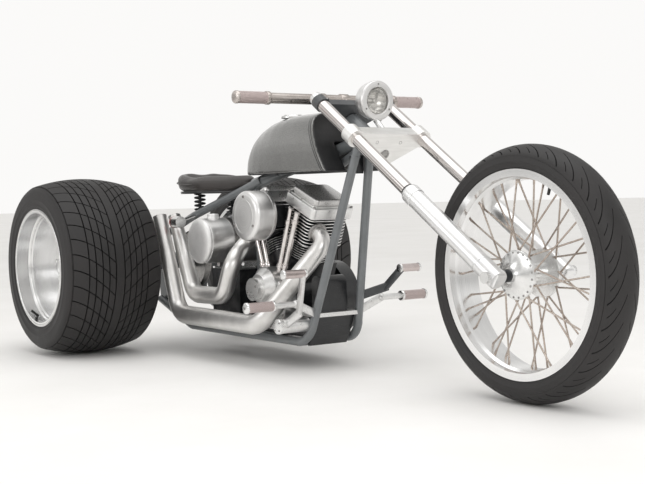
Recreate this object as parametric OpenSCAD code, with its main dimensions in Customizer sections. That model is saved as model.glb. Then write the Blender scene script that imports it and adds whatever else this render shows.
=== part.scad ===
// Low three-wheeled motorcycle: a rigid tube frame with a raked front fork,
// a V-twin engine and two very wide rear wheels.
// Millimetres, +X forwards, +Y to the vehicle's left, +Z up.
// The wheels stand on z = 0 and the origin is below the middle of the length.

/* [Overall] */
// Distance between the rear axle and the front axle
wheelbase = 1902; // [1700:1:2300]
// Distance between the middles of the two rear tyres
rear_track = 860; // [800:1:1100]
// Angle of the fork from the vertical
rake = 56.5; // [50:0.5:60]

/* [Rear wheels] */
// Outer radius of a rear tyre
rear_tyre_r = 323; // [270:1:390]
// Full width of a rear tyre
rear_tyre_w = 365; // [300:1:380]
// How much lower the tread's edge is than its middle
rear_crown = 25; // [10:1:35]
// Radius of the rear rim's outer lip
rear_rim_r = 215; // [180:1:240]
// Depth of the rear wheel's dish below the lip
dish_depth = 112; // [60:1:200]
// Radius of the fixed spindle that a rear wheel turns on
spindle_r = 25; // [18:0.5:32]

/* [Front wheel] */
// Outer radius of the front tyre
front_tyre_r = 347; // [330:1:420]
// Full width of the front tyre
front_tyre_w = 120; // [100:1:145]
// Radius of the front rim's flange
front_rim_r = 281; // [260:1:295]
// Full width of the front rim
front_rim_w = 108; // [90:1:112]
// Number of spokes on each hub flange
spokes_per_side = 20; // [12:2:24]
// Radius of the hub's flanges
hub_flange_r = 66; // [50:1:80]
// Radius of the front axle
axle_r = 10; // [8:0.5:14]

/* [Fork] */
// Length of the fork from the axle to its top
fork_length = 952; // [850:1:1150]
// Half the distance between the two fork tubes
fork_y = 128.7; // [110:0.1:155]
// Radius of a fork tube
fork_tube_r = 20; // [17:0.5:24]
// Radius of a lower fork leg
fork_leg_r = 27; // [24:0.5:30]
// Length of a fork leg above the axle
fork_leg_len = 405; // [350:1:500]
// Distance of the steering axis behind the fork tubes
steer_offset = 55; // [50:1:68]
// Length of the steering neck
neck_len = 155; // [120:1:190]
// Outer radius of the steering neck
neck_r = 30; // [26:1:34]
// Radius of the steering stem
stem_r = 12.7; // [10:0.1:16]
// Thickness of the upper clamp
upper_clamp_t = 30; // [20:1:40]
// Thickness of the lower clamp
lower_clamp_t = 40; // [30:1:50]

/* [Handlebar] */
// Half the length of the handlebar with its grips
bar_half = 364; // [320:1:440]
// Radius of the handlebar
bar_r = 17; // [12:0.5:19]
// Length of one grip
grip_len = 112; // [90:1:140]
// Height of the bar's middle above the upper clamp, along the fork
riser_h = 96; // [70:1:130]

/* [Headlight] */
// Radius of the headlight's front ring
headlight_r = 61; // [45:1:70]
// Length of the headlight's shell
headlight_len = 60; // [50:1:76]
// How far the headlight looks down, in degrees
headlight_tilt = 3.6; // [0:0.1:10]

/* [Frame] */
// Radius of the frame's tubes
tube_r = 14; // [11:0.5:17]
// Radius of the backbone under the tank
backbone_r = 20; // [16:0.5:24]
// Half the distance between the lower rails
rail_y = 98; // [92:1:104]
// Height of the lower rails' centres
rail_z = 90; // [80:1:110]
// Height of the seat tube's top
seat_tube_z = 612; // [560:1:660]
// Thickness of the axle plates
plate_t = 12; // [8:1:16]

/* [Engine] */
// Distance of the crankshaft in front of the rear axle
engine_x = 800; // [760:1:860]
// Height of the crankshaft
engine_z = 212; // [200:1:240]
// Angle between the two cylinders
vee_angle = 45; // [42:1:60]
// Distance from the crankshaft to the crankcase's deck
deck_h = 165; // [160:1:180]
// Distance from the crankshaft to the foot of the rocker boxes
rocker_z = 330; // [300:1:345]
// Height of a rocker box
rocker_h = 66; // [50:1:70]
// Half the width of the crankcase
case_half = 75; // [60:1:82]

/* [Tank, seat and oil tank] */
// Length of the fuel tank
tank_len = 568; // [480:1:580]
// Half the width of the fuel tank
tank_half = 112; // [90:1:130]
// Height of the fuel tank
tank_h = 195; // [150:1:230]
// Length of the seat
seat_len = 405; // [310:1:430]
// Half the width of the seat
seat_half = 140; // [110:1:165]
// Thickness of the seat
seat_t = 64; // [30:1:80]
// Radius of the oil tank
oil_r = 80; // [60:1:86]
// Half the length of the oil tank, with its domed ends
oil_half = 196; // [160:1:210]

/* [Exhaust] */
// Radius of the exhaust pipes
pipe_r = 29; // [22:0.5:31]

/* [Foot controls] */
// Distance of a foot peg's outer end from the middle
peg_reach = 356; // [320:1:400]
// Radius of a foot peg
peg_r = 16; // [12:0.5:19]

/* [Hidden] */
$fn = 96;

// fits and gaps
run_fit = 0.05;      // radial clearance of a part that turns on a shaft
neck_gap = 3;        // gap between the neck and each clamp
part_gap = 5;        // gap between neighbours that are not fastened
over = 1;            // how far a cutter reaches past what it cuts

// the origin is below the middle of the length
rear_axle_x = -(wheelbase + front_tyre_r - rear_tyre_r) / 2;

// stations along the fork, from the front axle up
upper_z = fork_length - 20 - upper_clamp_t;
neck_top_z = upper_z - neck_gap;
neck_low_z = neck_top_z - neck_len;
lower_z = neck_low_z - neck_gap - lower_clamp_t;
bar_z = upper_z + upper_clamp_t + riser_h;
boss_r = fork_tube_r + 9;        // the lower clamp's bosses
slim_boss_r = fork_tube_r + 4;   // the upper clamp's
leg_foot = 18;                   // how far a leg reaches below the axle
bar_x = -47;                     // the handlebar's place across the fork

// a point beside the fork: x across it, forwards, and z up along it
function fork_pt(x, z) = [wheelbase + x * cos(rake) - z * sin(rake), 0,
                          front_tyre_r + x * sin(rake) + z * cos(rake)];
function side_pt(p, y) = [p.x, y, p.z];
function sided(points, side) = [for (p = points) [p.x, side * p.y, p.z]];
function mix(a, b, t) = a + (b - a) * t;

// frame points
neck_mid = fork_pt(-steer_offset, mix(neck_low_z, neck_top_z, 0.35));
neck_foot = fork_pt(-steer_offset, neck_low_z + 30);
seat_tube_top = [540, 0, seat_tube_z];
seat_tube_foot = [engine_x - 215, 0, rail_z];
down_top = [neck_foot.x - 42, 24, neck_foot.z - 12];
rail_corner = [engine_x + 198, rail_y, rail_z];
rail_front = [engine_x + 110, rail_y, rail_z];
function down_at(z) = mix(rail_corner, down_top, (z - rail_z) / (down_top.z - rail_z));
rail_rear = [230, rail_y, rail_z];
plate_low = [-14, rail_y, 176];
plate_high = [0, rail_y, rear_tyre_r + 92];
top_rail_mid = [265, rail_y, 500];
top_rail_front = mix(seat_tube_top, neck_mid, 0.09);

// engine
crank = [engine_x, 0, engine_z];
head_half = 75;
clutch = [430, 0, engine_z];
primary_y = [112, 166];
primary_r = 128;

// rear axle
housing_r = 32;
housing_half = rear_track / 2 - rear_tyre_w / 2 - 20;
belt_y = 50;
belt_w = 26;
belt_t = 7;
rear_pulley_r = 108;
front_pulley_r = 48;

pipe_wall = 3;
tip_depth = 90;      // how deep an exhaust's end is open
frame_bend = 80;     // bend radius of the frame's tubes
bend_lap = 1;        // how far a straight stretch reaches into a bend
bend_extra = 0.3;    // how much thicker a bend is

// wheel profiles
rim_wall = 5;
rear_seat_r = rear_rim_r - 10;
rear_well_r = rear_rim_r - 20;
rear_lip_h = rear_tyre_w / 2 - 4.5;
rear_hub_r = 45;
front_seat_r = front_rim_r - 15;
front_well_r = front_seat_r - 7;
front_lip_h = front_rim_w / 2;
hub_half = 75;
flange_h = 45;

// ---------------------------------------------------------------- helpers

// everything is drawn with the rear axle at x = 0 and then moved
module placed() {
    translate([rear_axle_x, 0, 0]) children();
}

// children drawn with z up along the fork, x forwards across it, from the front axle
module along_fork() {
    translate([wheelbase, 0, front_tyre_r]) rotate([0, -rake, 0]) children();
}

// a round bar from a to b
module rod(a, b, r) {
    d = b - a;
    translate(a)
        rotate([0, acos(d.z / norm(d)), atan2(d.y, d.x)])
            cylinder(r = r, h = norm(d));
}

function unit(v) = v / norm(v);
function turn(a, b) = acos(min(1, max(-1, a * b)));

// a tube along points with a round bend at each inner one; a bend is a hair thicker than the
// straight stretches, and they end just inside it
module bent_tube(points, r, bend) {
    last = len(points) - 1;
    bends = is_num(bend) ? [for (p = points) bend] : bend;
    dir = [for (i = [0:last - 1]) unit(points[i + 1] - points[i])];
    cut = [for (i = [0:last])
        i == 0 || i == last ? 0 : bends[i] * tan(turn(dir[i - 1], dir[i]) / 2) - bend_lap];
    for (i = [0:last - 1])
        rod(points[i] + cut[i] * dir[i], points[i + 1] - cut[i + 1] * dir[i], r);
    for (i = [1:last - 1])
        bend_at(points[i], dir[i - 1], dir[i], r + bend_extra, bends[i]);
}

// a round bend at p, from direction d0 to direction d1
module bend_at(p, d0, d1, r, bend) {
    angle = turn(d0, d1);
    axis = unit(cross(d0, d1));
    out = -cross(axis, d0);
    centre = p - bend * tan(angle / 2) * d0 - bend * out;
    multmatrix([[out.x, d0.x, axis.x, centre.x],
                [out.y, d0.y, axis.y, centre.y],
                [out.z, d0.z, axis.z, centre.z],
                [0, 0, 0, 1]])
        rotate_extrude(angle = angle) translate([bend, 0]) circle(r = r);
}

// a cylinder along Y between two places
module drum(x, z, y0, y1, r) {
    translate([x, y1, z]) rotate([90, 0, 0]) cylinder(r = r, h = y1 - y0);
}

// a profile of [radius, height] turned about a wheel's axle; height is outwards
module turned(profile, side) {
    rotate([side < 0 ? 90 : -90, 0, 0]) rotate_extrude() polygon(profile);
}

// the other side of the vehicle
module mirrored(side) {
    if (side < 0) mirror([0, 1, 0]) children();
    else children();
}

// children with z along one cylinder of the engine
module on_cylinder(side) {
    translate(crank) rotate([0, side * vee_angle / 2, 0]) children();
}

// a block with its four upright edges rounded
module rounded_block(size, r) {
    linear_extrude(size.z) rounded_plate(size.x, size.y, r);
}

module rounded_plate(sx, sy, r) {
    union() {
        square([sx - 2 * r, sy], center = true);
        square([sx, sy - 2 * r], center = true);
        for (x = [-1, 1], y = [-1, 1])
            translate([x * (sx / 2 - r), y * (sy / 2 - r)]) circle(r = r);
    }
}

// ---------------------------------------------------------------- frame

module neck_tube() {
    along_fork()
        translate([-steer_offset, 0, neck_low_z])
            cylinder(r = neck_r, h = neck_len);
}

// the thinner tube below the backbone
module under_tube() {
    rod(mix(neck_foot, neck_mid, 0.2), mix(seat_tube_top, neck_mid, 0.8) - [0, 0, 46], tube_r);
}

module backbone() {
    lug_w = 2 * backbone_r + 10;
    color("slategray")
        difference() {
            union() {
                neck_tube();
                rod(neck_mid, seat_tube_top, backbone_r);
                under_tube();
                for (t = [0.25, 0.72])
                    translate(mix(seat_tube_top, neck_mid, t))
                        cube([30, lug_w, 16], center = true);
            }
            along_fork()
                translate([-steer_offset, 0, neck_low_z - over])
                    cylinder(r = stem_r + run_fit, h = neck_len + 2 * over);
        }
}

module downtube(side) {
    bent_tube(sided([down_top, rail_corner, rail_front], side), tube_r, frame_bend);
}

module downtubes() {
    color("slategray")
        difference() {
            union() {
                downtube(1);
                downtube(-1);
            }
            neck_tube();
            under_tube();
            rod(neck_mid, seat_tube_top, backbone_r);
        }
}

module lower_rail(side) {
    bent_tube(sided([rail_front, rail_rear, plate_low], side), tube_r, frame_bend);
}

module lower_rails() {
    color("slategray")
        for (side = [-1, 1]) lower_rail(side);
}

module top_rail(side) {
    bent_tube(sided([side_pt(top_rail_front, 12), top_rail_mid, plate_high], side), tube_r, frame_bend);
}

// the half of space on the other side of the vehicle, round the front ends of the top rails
module other_half(side) {
    size = 900;
    translate([0, side < 0 ? 0 : -size, plate_high.z - 50]) cube(size);
}

module top_rails() {
    color("slategray")
        for (side = [-1, 1])
            difference() {
                top_rail(side);
                rod(neck_mid, seat_tube_top, backbone_r);
                translate(seat_tube_top) sphere(r = backbone_r);
                other_half(side);
            }
}

module cross_member(x, z) {
    difference() {
        drum(x, z, -rail_y, rail_y, tube_r);
        for (side = [-1, 1]) {
            lower_rail(side);
            downtube(side);
        }
    }
}

module cross_members() {
    color("slategray")
        difference() {
            union() {
                cross_member(engine_x + 145, rail_z);
                cross_member(seat_tube_foot.x, rail_z);
                cross_member(300, rail_z);
                rod(seat_tube_foot, seat_tube_top, tube_r);
            }
            rod(neck_mid, seat_tube_top, backbone_r);
        }
}

// one axle plate: an upright plate that joins both rails to the axle
module axle_plate_body(side) {
    mirrored(side)
        translate([0, rail_y - tube_r, 0])
            rotate([90, 0, 0])
                linear_extrude(plate_t)
                    union() {
                        translate([0, rear_tyre_r]) circle(r = 58);
                        polygon([[-58, rear_tyre_r], [plate_low.x - 26, plate_low.z - 16],
                                 [plate_low.x + 28, plate_low.z - 16], [58, rear_tyre_r],
                                 [plate_high.x + 24, plate_high.z + 16],
                                 [plate_high.x - 24, plate_high.z + 16]]);
                    }
}

module rear_axle_housing() {
    color("dimgray")
        union() {
            drum(0, rear_tyre_r, -housing_half, housing_half, housing_r);
            drum(0, rear_tyre_r, -rear_track / 2 - rear_lip_h + dish_depth - 24,
                 rear_track / 2 + rear_lip_h - dish_depth + 24, spindle_r);
            for (side = [-1, 1])
                axle_plate_body(side);
        }
}

module rear_pulley() {
    color("dimgray")
        translate([0, belt_y, rear_tyre_r])
            rotate([90, 0, 0])
                difference() {
                    translate([0, 0, -belt_w / 2]) cylinder(r = rear_pulley_r, h = belt_w);
                    translate([0, 0, -belt_w]) cylinder(r = housing_r, h = 2 * belt_w);
                }
}

module drive_belt() {
    a = atan2(clutch.z - rear_tyre_r, clutch.x);
    dist = norm([clutch.x, clutch.z - rear_tyre_r]);
    color("black")
        translate([0, belt_y + belt_w / 2, rear_tyre_r])
            rotate([90, -a, 0])
                linear_extrude(belt_w)
                    difference() {
                        belt_outline(dist, belt_t);
                        belt_outline(dist, 0.1);
                    }
}

// the outline of a belt round both pulleys, grown by its thickness
module belt_outline(dist, grow) {
    hull() {
        circle(r = rear_pulley_r + grow);
        translate([dist, 0]) circle(r = front_pulley_r + grow);
    }
}

// ---------------------------------------------------------------- tanks and seat

// the tank stands behind the neck and its foot is level
tank_front = [neck_mid.x - 76, 0, neck_mid.z - 100];
tank_slope = 140;        // how far its front leans back over its height
tank_dome = 340;         // length of the dome that makes its rear
tank_plan = 2.7;         // how square the dome is from above
tank_side = 2.4;         // how square it is from the side and in section

// a quarter of a rounded square: 1 at t = 0, falling to 0 at t = 1
function quarter(t, power) = pow(max(0, 1 - pow(t, power)), 1 / power);

module fuel_tank() {
    color("#4b4e50")
        difference() {
            tank_shell();
            tank_tunnel(2 * backbone_r + 10);
        }
}

// slices across the tank, hulled into one smooth body; the front one leans back
module tank_shell() {
    slice = 2;
    lean = tank_slope / tank_h;
    stations = [0.998, 0.985, 0.95, 0.88, 0.78, 0.66, 0.5, 0.34, 0.17, 0];
    translate([tank_front.x - tank_len + tank_dome, 0, tank_front.z])
        hull() {
            for (t = stations)
                translate([-t * tank_dome, 0, 0])
                    tank_slice(tank_half * quarter(t, tank_plan), tank_h * quarter(t, tank_side), slice);
            translate([tank_len - tank_dome - slice, 0, 0])
                multmatrix([[1, 0, -lean, 0], [0, 1, 0, 0], [0, 0, 1, 0], [0, 0, 0, 1]])
                    tank_slice(tank_half, tank_h, slice);
        }
}

// one upright slice: half a rounded square, w to each side and h high
module tank_slice(w, h, t) {
    rotate([90, 0, 90])
        linear_extrude(t)
            polygon([for (k = [-12:12])
                let (c = sin(k * 7.5))
                    [w * c, h * quarter(abs(c), tank_side)]]);
}

// the channel that the backbone runs in
module tank_tunnel(w) {
    translate([0, w / 2, 0])
        rotate([90, 0, 0])
            linear_extrude(w)
                polygon([[seat_tube_top.x, seat_tube_top.z - 200], [neck_mid.x, neck_mid.z - 200],
                         [neck_mid.x, neck_mid.z + backbone_r + 4],
                         [seat_tube_top.x, seat_tube_top.z + backbone_r + 4]]);
}

seat_front = [tank_front.x - tank_len - 28, 0, tank_front.z + 12];
seat_slope = 0;
tube_gap = 2;            // gap between the seat and the tubes in its underside
seat_round = 104;        // corner radius of the seat's wide end
nose_r = 28;             // radius of its nose
spring_at = [262, 70];   // where a seat spring stands
spring_r = 22;

module seat_pad() {
    color("#262120")
        difference() {
            translate(seat_front)
                rotate([0, -seat_slope, 0])
                    translate([-seat_len, 0, -seat_t]) seat_outline();
            tubes_under_seat(tube_gap);
        }
}

module seat_outline() {
    hull() {
        for (x = [seat_round, seat_half * 1.3], s = [-1, 1])
            translate([x, s * (seat_half - seat_round), 0])
                cylinder(r = seat_round, h = seat_t, $fn = 48);
        translate([seat_len - nose_r, 0, 0]) cylinder(r = nose_r, h = seat_t, $fn = 32);
    }
}

// room for the frame's tubes in the seat's underside
module tubes_under_seat(gap) {
    for (side = [-1, 1])
        rod(side_pt(top_rail_front, 12 * side), side_pt(top_rail_mid, rail_y * side),
            tube_r + gap, $fn = 32);
    rod(neck_mid, seat_tube_top, backbone_r + gap, $fn = 32);
    translate(seat_tube_top) sphere(r = backbone_r + gap, $fn = 32);
    rod(seat_tube_foot, seat_tube_top, tube_r + gap, $fn = 32);
}

module seat_springs() {
    color("dimgray")
        difference() {
            for (side = [-1, 1])
                translate([spring_at.x, side * spring_at.y, 505]) cylinder(r = spring_r, h = 135);
            seat_under();
            top_rail_pair();
        }
}

module seat_under() {
    translate(seat_front)
        rotate([0, -seat_slope, 0])
            translate([-seat_len - 50, -300, -seat_t]) cube([seat_len + 100, 600, 300]);
}

module top_rail_pair() {
    for (side = [-1, 1]) top_rail(side);
}

oil_at = [450, 413];     // middle of the oil tank, seen from the side
oil_dome = 14;           // how far its ends bulge

module oil_tank() {
    color("silver")
        union() {
            drum(oil_at.x, oil_at.y, -oil_half + oil_dome, oil_half - oil_dome, oil_r);
            for (side = [-1, 1])
                mirrored(side)
                    translate([oil_at.x, oil_half - oil_dome, oil_at.y])
                        rotate([-90, 0, 0])
                            rotate_extrude()
                                polygon([[0, 0], for (a = [0:15:90]) [oil_r * cos(a), oil_dome * sin(a)]]);
        }
}

// ---------------------------------------------------------------- engine

module crankcase() {
    foot_from = seat_tube_foot.x + tube_r + part_gap;
    color("#26272a")
        translate([0, case_half, 0])
            rotate([90, 0, 0])
                linear_extrude(2 * case_half)
                    union() {
                        translate([crank.x, crank.z]) circle(r = 118);
                        for (side = [-1, 1])
                            translate([crank.x, crank.z])
                                rotate(-side * vee_angle / 2)
                                    translate([-66, 0]) square([132, deck_h]);
                        translate([foot_from, rail_z + tube_r])
                            square([engine_x + 155 - foot_from, 30]);
                    }
}

module cylinders() {
    color("#1d1e20")
        for (side = [-1, 1]) engine_cylinder(side);
}

module engine_cylinder(side) {
    on_cylinder(side)
        union() {
            translate([0, 0, deck_h]) cylinder(r = 65, h = 85);
            head_body();
        }
}

module head_body() {
    translate([0, 0, deck_h + 60])
        rounded_block([2 * head_half, 156, rocker_z - deck_h - 60], 24);
}

module rocker_boxes() {
    color("silver")
        for (side = [-1, 1])
            on_cylinder(side)
                translate([0, 0, rocker_z])
                    union() {
                        rounded_block([2 * head_half + 20, 166, rocker_h * 0.62], 16);
                        rounded_block([2 * head_half - 6, 140, rocker_h], 16);
                    }
}

module pushrod(side, k, r) {
    lean = side * sin(vee_angle / 2) * rocker_z;
    rod([crank.x + side * 34 + k * 14, -96, crank.z + 70],
        crank + [lean + k * 22, -90, cos(vee_angle / 2) * rocker_z + 20], r);
}

module pushrod_tubes() {
    color("silver")
        difference() {
            for (side = [-1, 1], k = [-1, 1])
                pushrod(side, k, 10);
            for (side = [-1, 1]) {
                on_cylinder(side)
                    translate([-120, -200, rocker_z]) cube([240, 400, 200]);
                on_cylinder(side)
                    translate([-head_half, -78, deck_h]) cube([2 * head_half, 156, 200]);
                on_cylinder(side)
                    translate([-66, -case_half, 0]) cube([132, 2 * case_half, deck_h]);
            }
            cam_body();
        }
}

module cam_body() {
    drum(crank.x - 8, crank.z + 50, -132, -case_half, 70);
    translate([crank.x - 8, -132, crank.z + 50]) rotate([90, 0, 0]) cylinder(r1 = 66, r2 = 46, h = 26);
    drum(crank.x - 14, crank.z + 46, -178, -132, 38);
    drum(crank.x + 10, crank.z, -118, -case_half, 88);
}

module cam_cover() {
    color("silver") cam_body();
}

module air_cleaner() {
    color("silver")
        union() {
            drum(crank.x, crank.z + 292, -206, -128, 83);
            translate([crank.x, -206, crank.z + 292])
                rotate([90, 0, 0]) cylinder(r1 = 80, r2 = 76, h = 6);
        }
}

module carburettor() {
    color("#3a3b3d")
        difference() {
            union() {
                drum(crank.x, crank.z + 292, -128, -30, 26);
                translate([crank.x - 32, -118, crank.z + 252]) cube([64, 50, 70]);
            }
            for (side = [-1, 1])
                on_cylinder(side)
                    translate([-head_half, -78, deck_h]) cube([2 * head_half, 156, 400]);
            for (side = [-1, 1])
                on_cylinder(side)
                    translate([-head_half - 10, -83, rocker_z]) cube([2 * head_half + 20, 166, 200]);
            for (side = [-1, 1], k = [-1, 1])
                pushrod(side, k, 11);
        }
}

module head_block(side) {
    on_cylinder(side)
        translate([0, 0, deck_h + 60])
            rounded_block([2 * head_half, 156, rocker_z - deck_h - 60], 24);
}

// a point beside a cylinder: x away from the engine's middle and z up along the cylinder
function head_pt(side, x, y, z) =
    crank + [side * (x * cos(vee_angle / 2) + z * sin(vee_angle / 2)), y,
             z * cos(vee_angle / 2) - x * sin(vee_angle / 2)];

// an exhaust pipe whose upper end is open
module exhaust(points, r, bends) {
    last = len(points) - 1;
    tip = unit(points[last] - points[last - 1]);
    color("#b9b4aa")
        difference() {
            bent_tube(points, r, bends);
            rod(points[last] - tip_depth * tip, points[last] + tip, r - pipe_wall);
        }
}

module front_exhaust() {
    exhaust([head_pt(1, head_half, -44, 285), head_pt(1, head_half + 62, -44, 285),
             crank + [68, -206, -66],
             [334, -206, 148], [198, -206, 500]], pipe_r, [0, 40, 70, 75, 0]);
}

module rear_exhaust() {
    exhaust([head_pt(-1, head_half, -44, 285), head_pt(-1, head_half + 84, -44, 285),
             crank + [-190, -146, 130], crank + [-250, -146, 8], [340, -146, 216],
             [200, -146, 500]], pipe_r - 1, [0, 62, 62, 62, 62, 0]);
}

module primary_cover() {
    color("#1d1e20")
        union() {
            translate([0, primary_y[1], 0])
                rotate([90, 0, 0])
                    linear_extrude(primary_y[1] - primary_y[0])
                        union() {
                            translate([crank.x, crank.z]) circle(r = primary_r);
                            translate([clutch.x, clutch.z]) circle(r = primary_r - 8);
                            polygon([[crank.x, crank.z + primary_r], [clutch.x, clutch.z + primary_r - 8],
                                     [clutch.x, clutch.z - primary_r + 8], [crank.x, crank.z - primary_r]]);
                        }
            drum(crank.x, crank.z, case_half, primary_y[0], 80);
        }
}

module gearbox() {
    color("#303236")
        union() {
            translate([clutch.x - 70, -80, rail_z + tube_r]) cube([190, 112, 205]);
            drum(clutch.x, clutch.z, 30, primary_y[0], 20);
            drum(clutch.x, clutch.z, belt_y - belt_w / 2, belt_y + belt_w / 2, front_pulley_r);
            translate([290, -60, rail_z + tube_r]) cube([120, 100, 20]);
        }
}

// the pieces in front of the engine, between the downtubes
strut_z = 180;
block_half = 52;

module front_block() {
    back = engine_x + 155;
    color("#202124")
        translate([back, block_half, strut_z + 7])
            rotate([90, 0, 0])
                linear_extrude(2 * block_half)
                    union() {
                        square([52, 92]);
                        translate([26, 92]) circle(r = 26);
                    }
}

module front_strut() {
    at = down_at(strut_z);
    color("silver")
        difference() {
            translate([engine_x + 112, -at.y, strut_z - 6]) cube([at.x - engine_x - 112 + 8, 2 * at.y, 13]);
            for (side = [-1, 1]) downtube(side);
            translate([crank.x, case_half, crank.z])
                rotate([90, 0, 0]) cylinder(r = 118, h = 2 * case_half);
        }
}

module belly_pan() {
    pan_half = 76;
    color("#202124")
        translate([0, pan_half, 0])
            rotate([90, 0, 0])
                linear_extrude(2 * pan_half)
                    polygon([[engine_x + 162, strut_z - 6], [down_at(strut_z).x - 9, strut_z - 6],
                             [rail_corner.x - 13, rail_z + tube_r], [rail_corner.x - 31, rail_z - tube_r],
                             [engine_x + 162, rail_z - tube_r]]);
}

coil_half = 18;

module ignition_coil() {
    color("#1a1a1c")
        difference() {
            translate([tank_front.x + 2, -coil_half, tank_front.z - 8]) cube([24, 2 * coil_half, 56]);
            under_tube();
        }
}

lamp_at = [320, 190, 480];
lamp_r = 21;

// a short round body with a domed end, standing on z = 0
module bullet() {
    rotate_extrude()
        polygon([[0, 0], [lamp_r, 0], for (a = [0:10:90]) [lamp_r * cos(a), 44 + lamp_r * sin(a)]]);
}

module tail_lamps() {
    color("silver")
        difference() {
            for (side = [-1, 1])
                mirrored(side) {
                    translate(lamp_at + [10, 0, 0]) rotate([0, -90, 0]) bullet();
                    rod(top_rail_mid + [15, -4, 4], lamp_at, 6);
                }
            top_rail_pair();
        }
}

// ---------------------------------------------------------------- foot controls

peg_x = engine_x + 238;
peg_z = 224;
peg_len = 98;

module foot_pegs() {
    color("#b8b0aa")
        for (side = [-1, 1]) foot_peg(side);
}

module foot_peg(side) {
    mirrored(side)
        union() {
            drum(peg_x, peg_z, peg_reach - peg_len, peg_reach, peg_r);
            drum(peg_x, peg_z, 165, peg_reach - peg_len + over, peg_r - 6);
            rod(down_at(190), [peg_x, 172, peg_z], 9);
            translate([peg_x, 172, peg_z]) sphere(r = 13);
        }
}

module brake_pedal() {
    color("silver")
        union() {
            drum(down_at(152).x - 22, 152, -212, -rail_y, 23);
            rod([down_at(152).x - 22, -190, 152], [peg_x + 52, -196, 200], 10);
            rod([peg_x + 52, -196, 200], [peg_x + 150, -246, 326], 9);
            translate([peg_x + 52, -196, 200]) sphere(r = 11);
            drum(peg_x + 152, 332, -318, -240, 13);
        }
}

module shift_lever() {
    color("silver")
        union() {
            rod(down_at(236), [peg_x + 52, 150, 262], 9);
            translate([peg_x + 52, 150, 262]) sphere(r = 10);
            rod([peg_x + 52, 150, 262], [peg_x + 102, 176, 322], 9);
            drum(peg_x + 104, 325, 170, 246, 13);
        }
}

// ---------------------------------------------------------------- fork and steering

module fork_tubes() {
    color("lightgray")
        along_fork()
            for (side = [-1, 1])
                translate([0, side * fork_y, fork_leg_len])
                    cylinder(r = fork_tube_r, h = fork_length - fork_leg_len);
}

module fork_legs() {
    color("silver")
        difference() {
            along_fork()
                for (side = [-1, 1])
                    translate([0, side * fork_y, -leg_foot])
                        cylinder(r = fork_leg_r, h = fork_leg_len + leg_foot);
            drum(wheelbase, front_tyre_r, -200, 200, axle_r);
        }
}

module upper_clamp() {
    color("#4b4e50")
        along_fork()
            translate([0, 0, upper_z])
                linear_extrude(upper_clamp_t)
                    difference() {
                        union() {
                            for (side = [-1, 1])
                                translate([0, side * fork_y]) circle(r = slim_boss_r);
                            translate([-steer_offset, 0]) circle(r = 44);
                            polygon([[6, -fork_y], [6, fork_y], [-18, fork_y],
                                     [-steer_offset - 36, 24], [-steer_offset - 36, -24], [-18, -fork_y]]);
                        }
                        for (side = [-1, 1])
                            translate([0, side * fork_y]) circle(r = fork_tube_r);
                        translate([-steer_offset, 0]) circle(r = stem_r);
                    }
}

module lower_clamp() {
    color("silver")
        along_fork()
            union() {
                translate([0, 0, lower_z])
                    linear_extrude(lower_clamp_t)
                        difference() {
                            union() {
                                for (side = [-1, 1])
                                    translate([0, side * fork_y]) circle(r = boss_r);
                                polygon([[18, -fork_y], [18, fork_y], [-boss_r * 0.8, fork_y],
                                         [-steer_offset - 34, 30], [-steer_offset - 34, -30], [-boss_r * 0.8, -fork_y]]);
                            }
                            for (side = [-1, 1])
                                translate([0, side * fork_y]) circle(r = fork_tube_r);
                        }
                translate([-steer_offset, 0, lower_z])
                    cylinder(r = stem_r, h = upper_z + upper_clamp_t - lower_z);
                translate([-steer_offset, 0, upper_z + upper_clamp_t])
                    cylinder(r = 20, h = 12);
            }
}

module handlebar() {
    color("#a9a39b")
        union() {
            along_fork() {
                translate([bar_x, bar_half - grip_len, bar_z])
                    rotate([90, 0, 0]) cylinder(r = bar_r, h = 2 * (bar_half - grip_len));
                for (side = [-1, 1])
                    translate([bar_x, side * 46, upper_z + upper_clamp_t])
                        cylinder(r = 13, h = riser_h);
            }
        }
}

module grips() {
    color("#b8a8a4")
        along_fork()
            for (side = [-1, 1])
                mirrored(side)
                    translate([bar_x, bar_half, bar_z])
                        rotate([90, 0, 0]) cylinder(r = bar_r + 2, h = grip_len);
}

// the headlight's face centre, beside the fork
headlight_at = fork_pt(70, fork_length - 137);

module headlight() {
    color("silver")
        difference() {
            union() {
                translate(headlight_at)
                    rotate([0, 90 + headlight_tilt, 0]) {
                        translate([0, 0, -headlight_len]) cylinder(r = headlight_r - 3, h = headlight_len);
                        translate([0, 0, -14]) cylinder(r = headlight_r, h = 14);
                    }
                rod(headlight_at + [-30, 0, -20], fork_pt(2, lower_z + lower_clamp_t / 2), 10);
            }
            translate(headlight_at)
                rotate([0, 90 + headlight_tilt, 0])
                    translate([0, 0, -30]) cylinder(r = headlight_r - 10, h = 40);
            along_fork()
                translate([-100, -200, lower_z - 100]) cube([118, 400, lower_clamp_t + 100]);
        }
}

module headlight_lens() {
    color("lightgray")
        translate(headlight_at)
            rotate([0, 90 + headlight_tilt, 0])
                translate([0, 0, -30]) cylinder(r = headlight_r - 10, h = 27);
}

module front_axle() {
    color("silver")
        union() {
            drum(wheelbase, front_tyre_r, -fork_y - 34, fork_y + 34, axle_r);
            for (side = [-1, 1])
                mirrored(side) {
                    difference() {
                        drum(wheelbase, front_tyre_r, hub_half + 1, fork_y, 17);
                        along_fork()
                            translate([0, fork_y, -60]) cylinder(r = fork_leg_r, h = 120);
                    }
                    drum(wheelbase, front_tyre_r, fork_y + fork_leg_r, fork_y + fork_leg_r + 10, 16);
                }
        }
}

// ---------------------------------------------------------------- wheels

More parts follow.
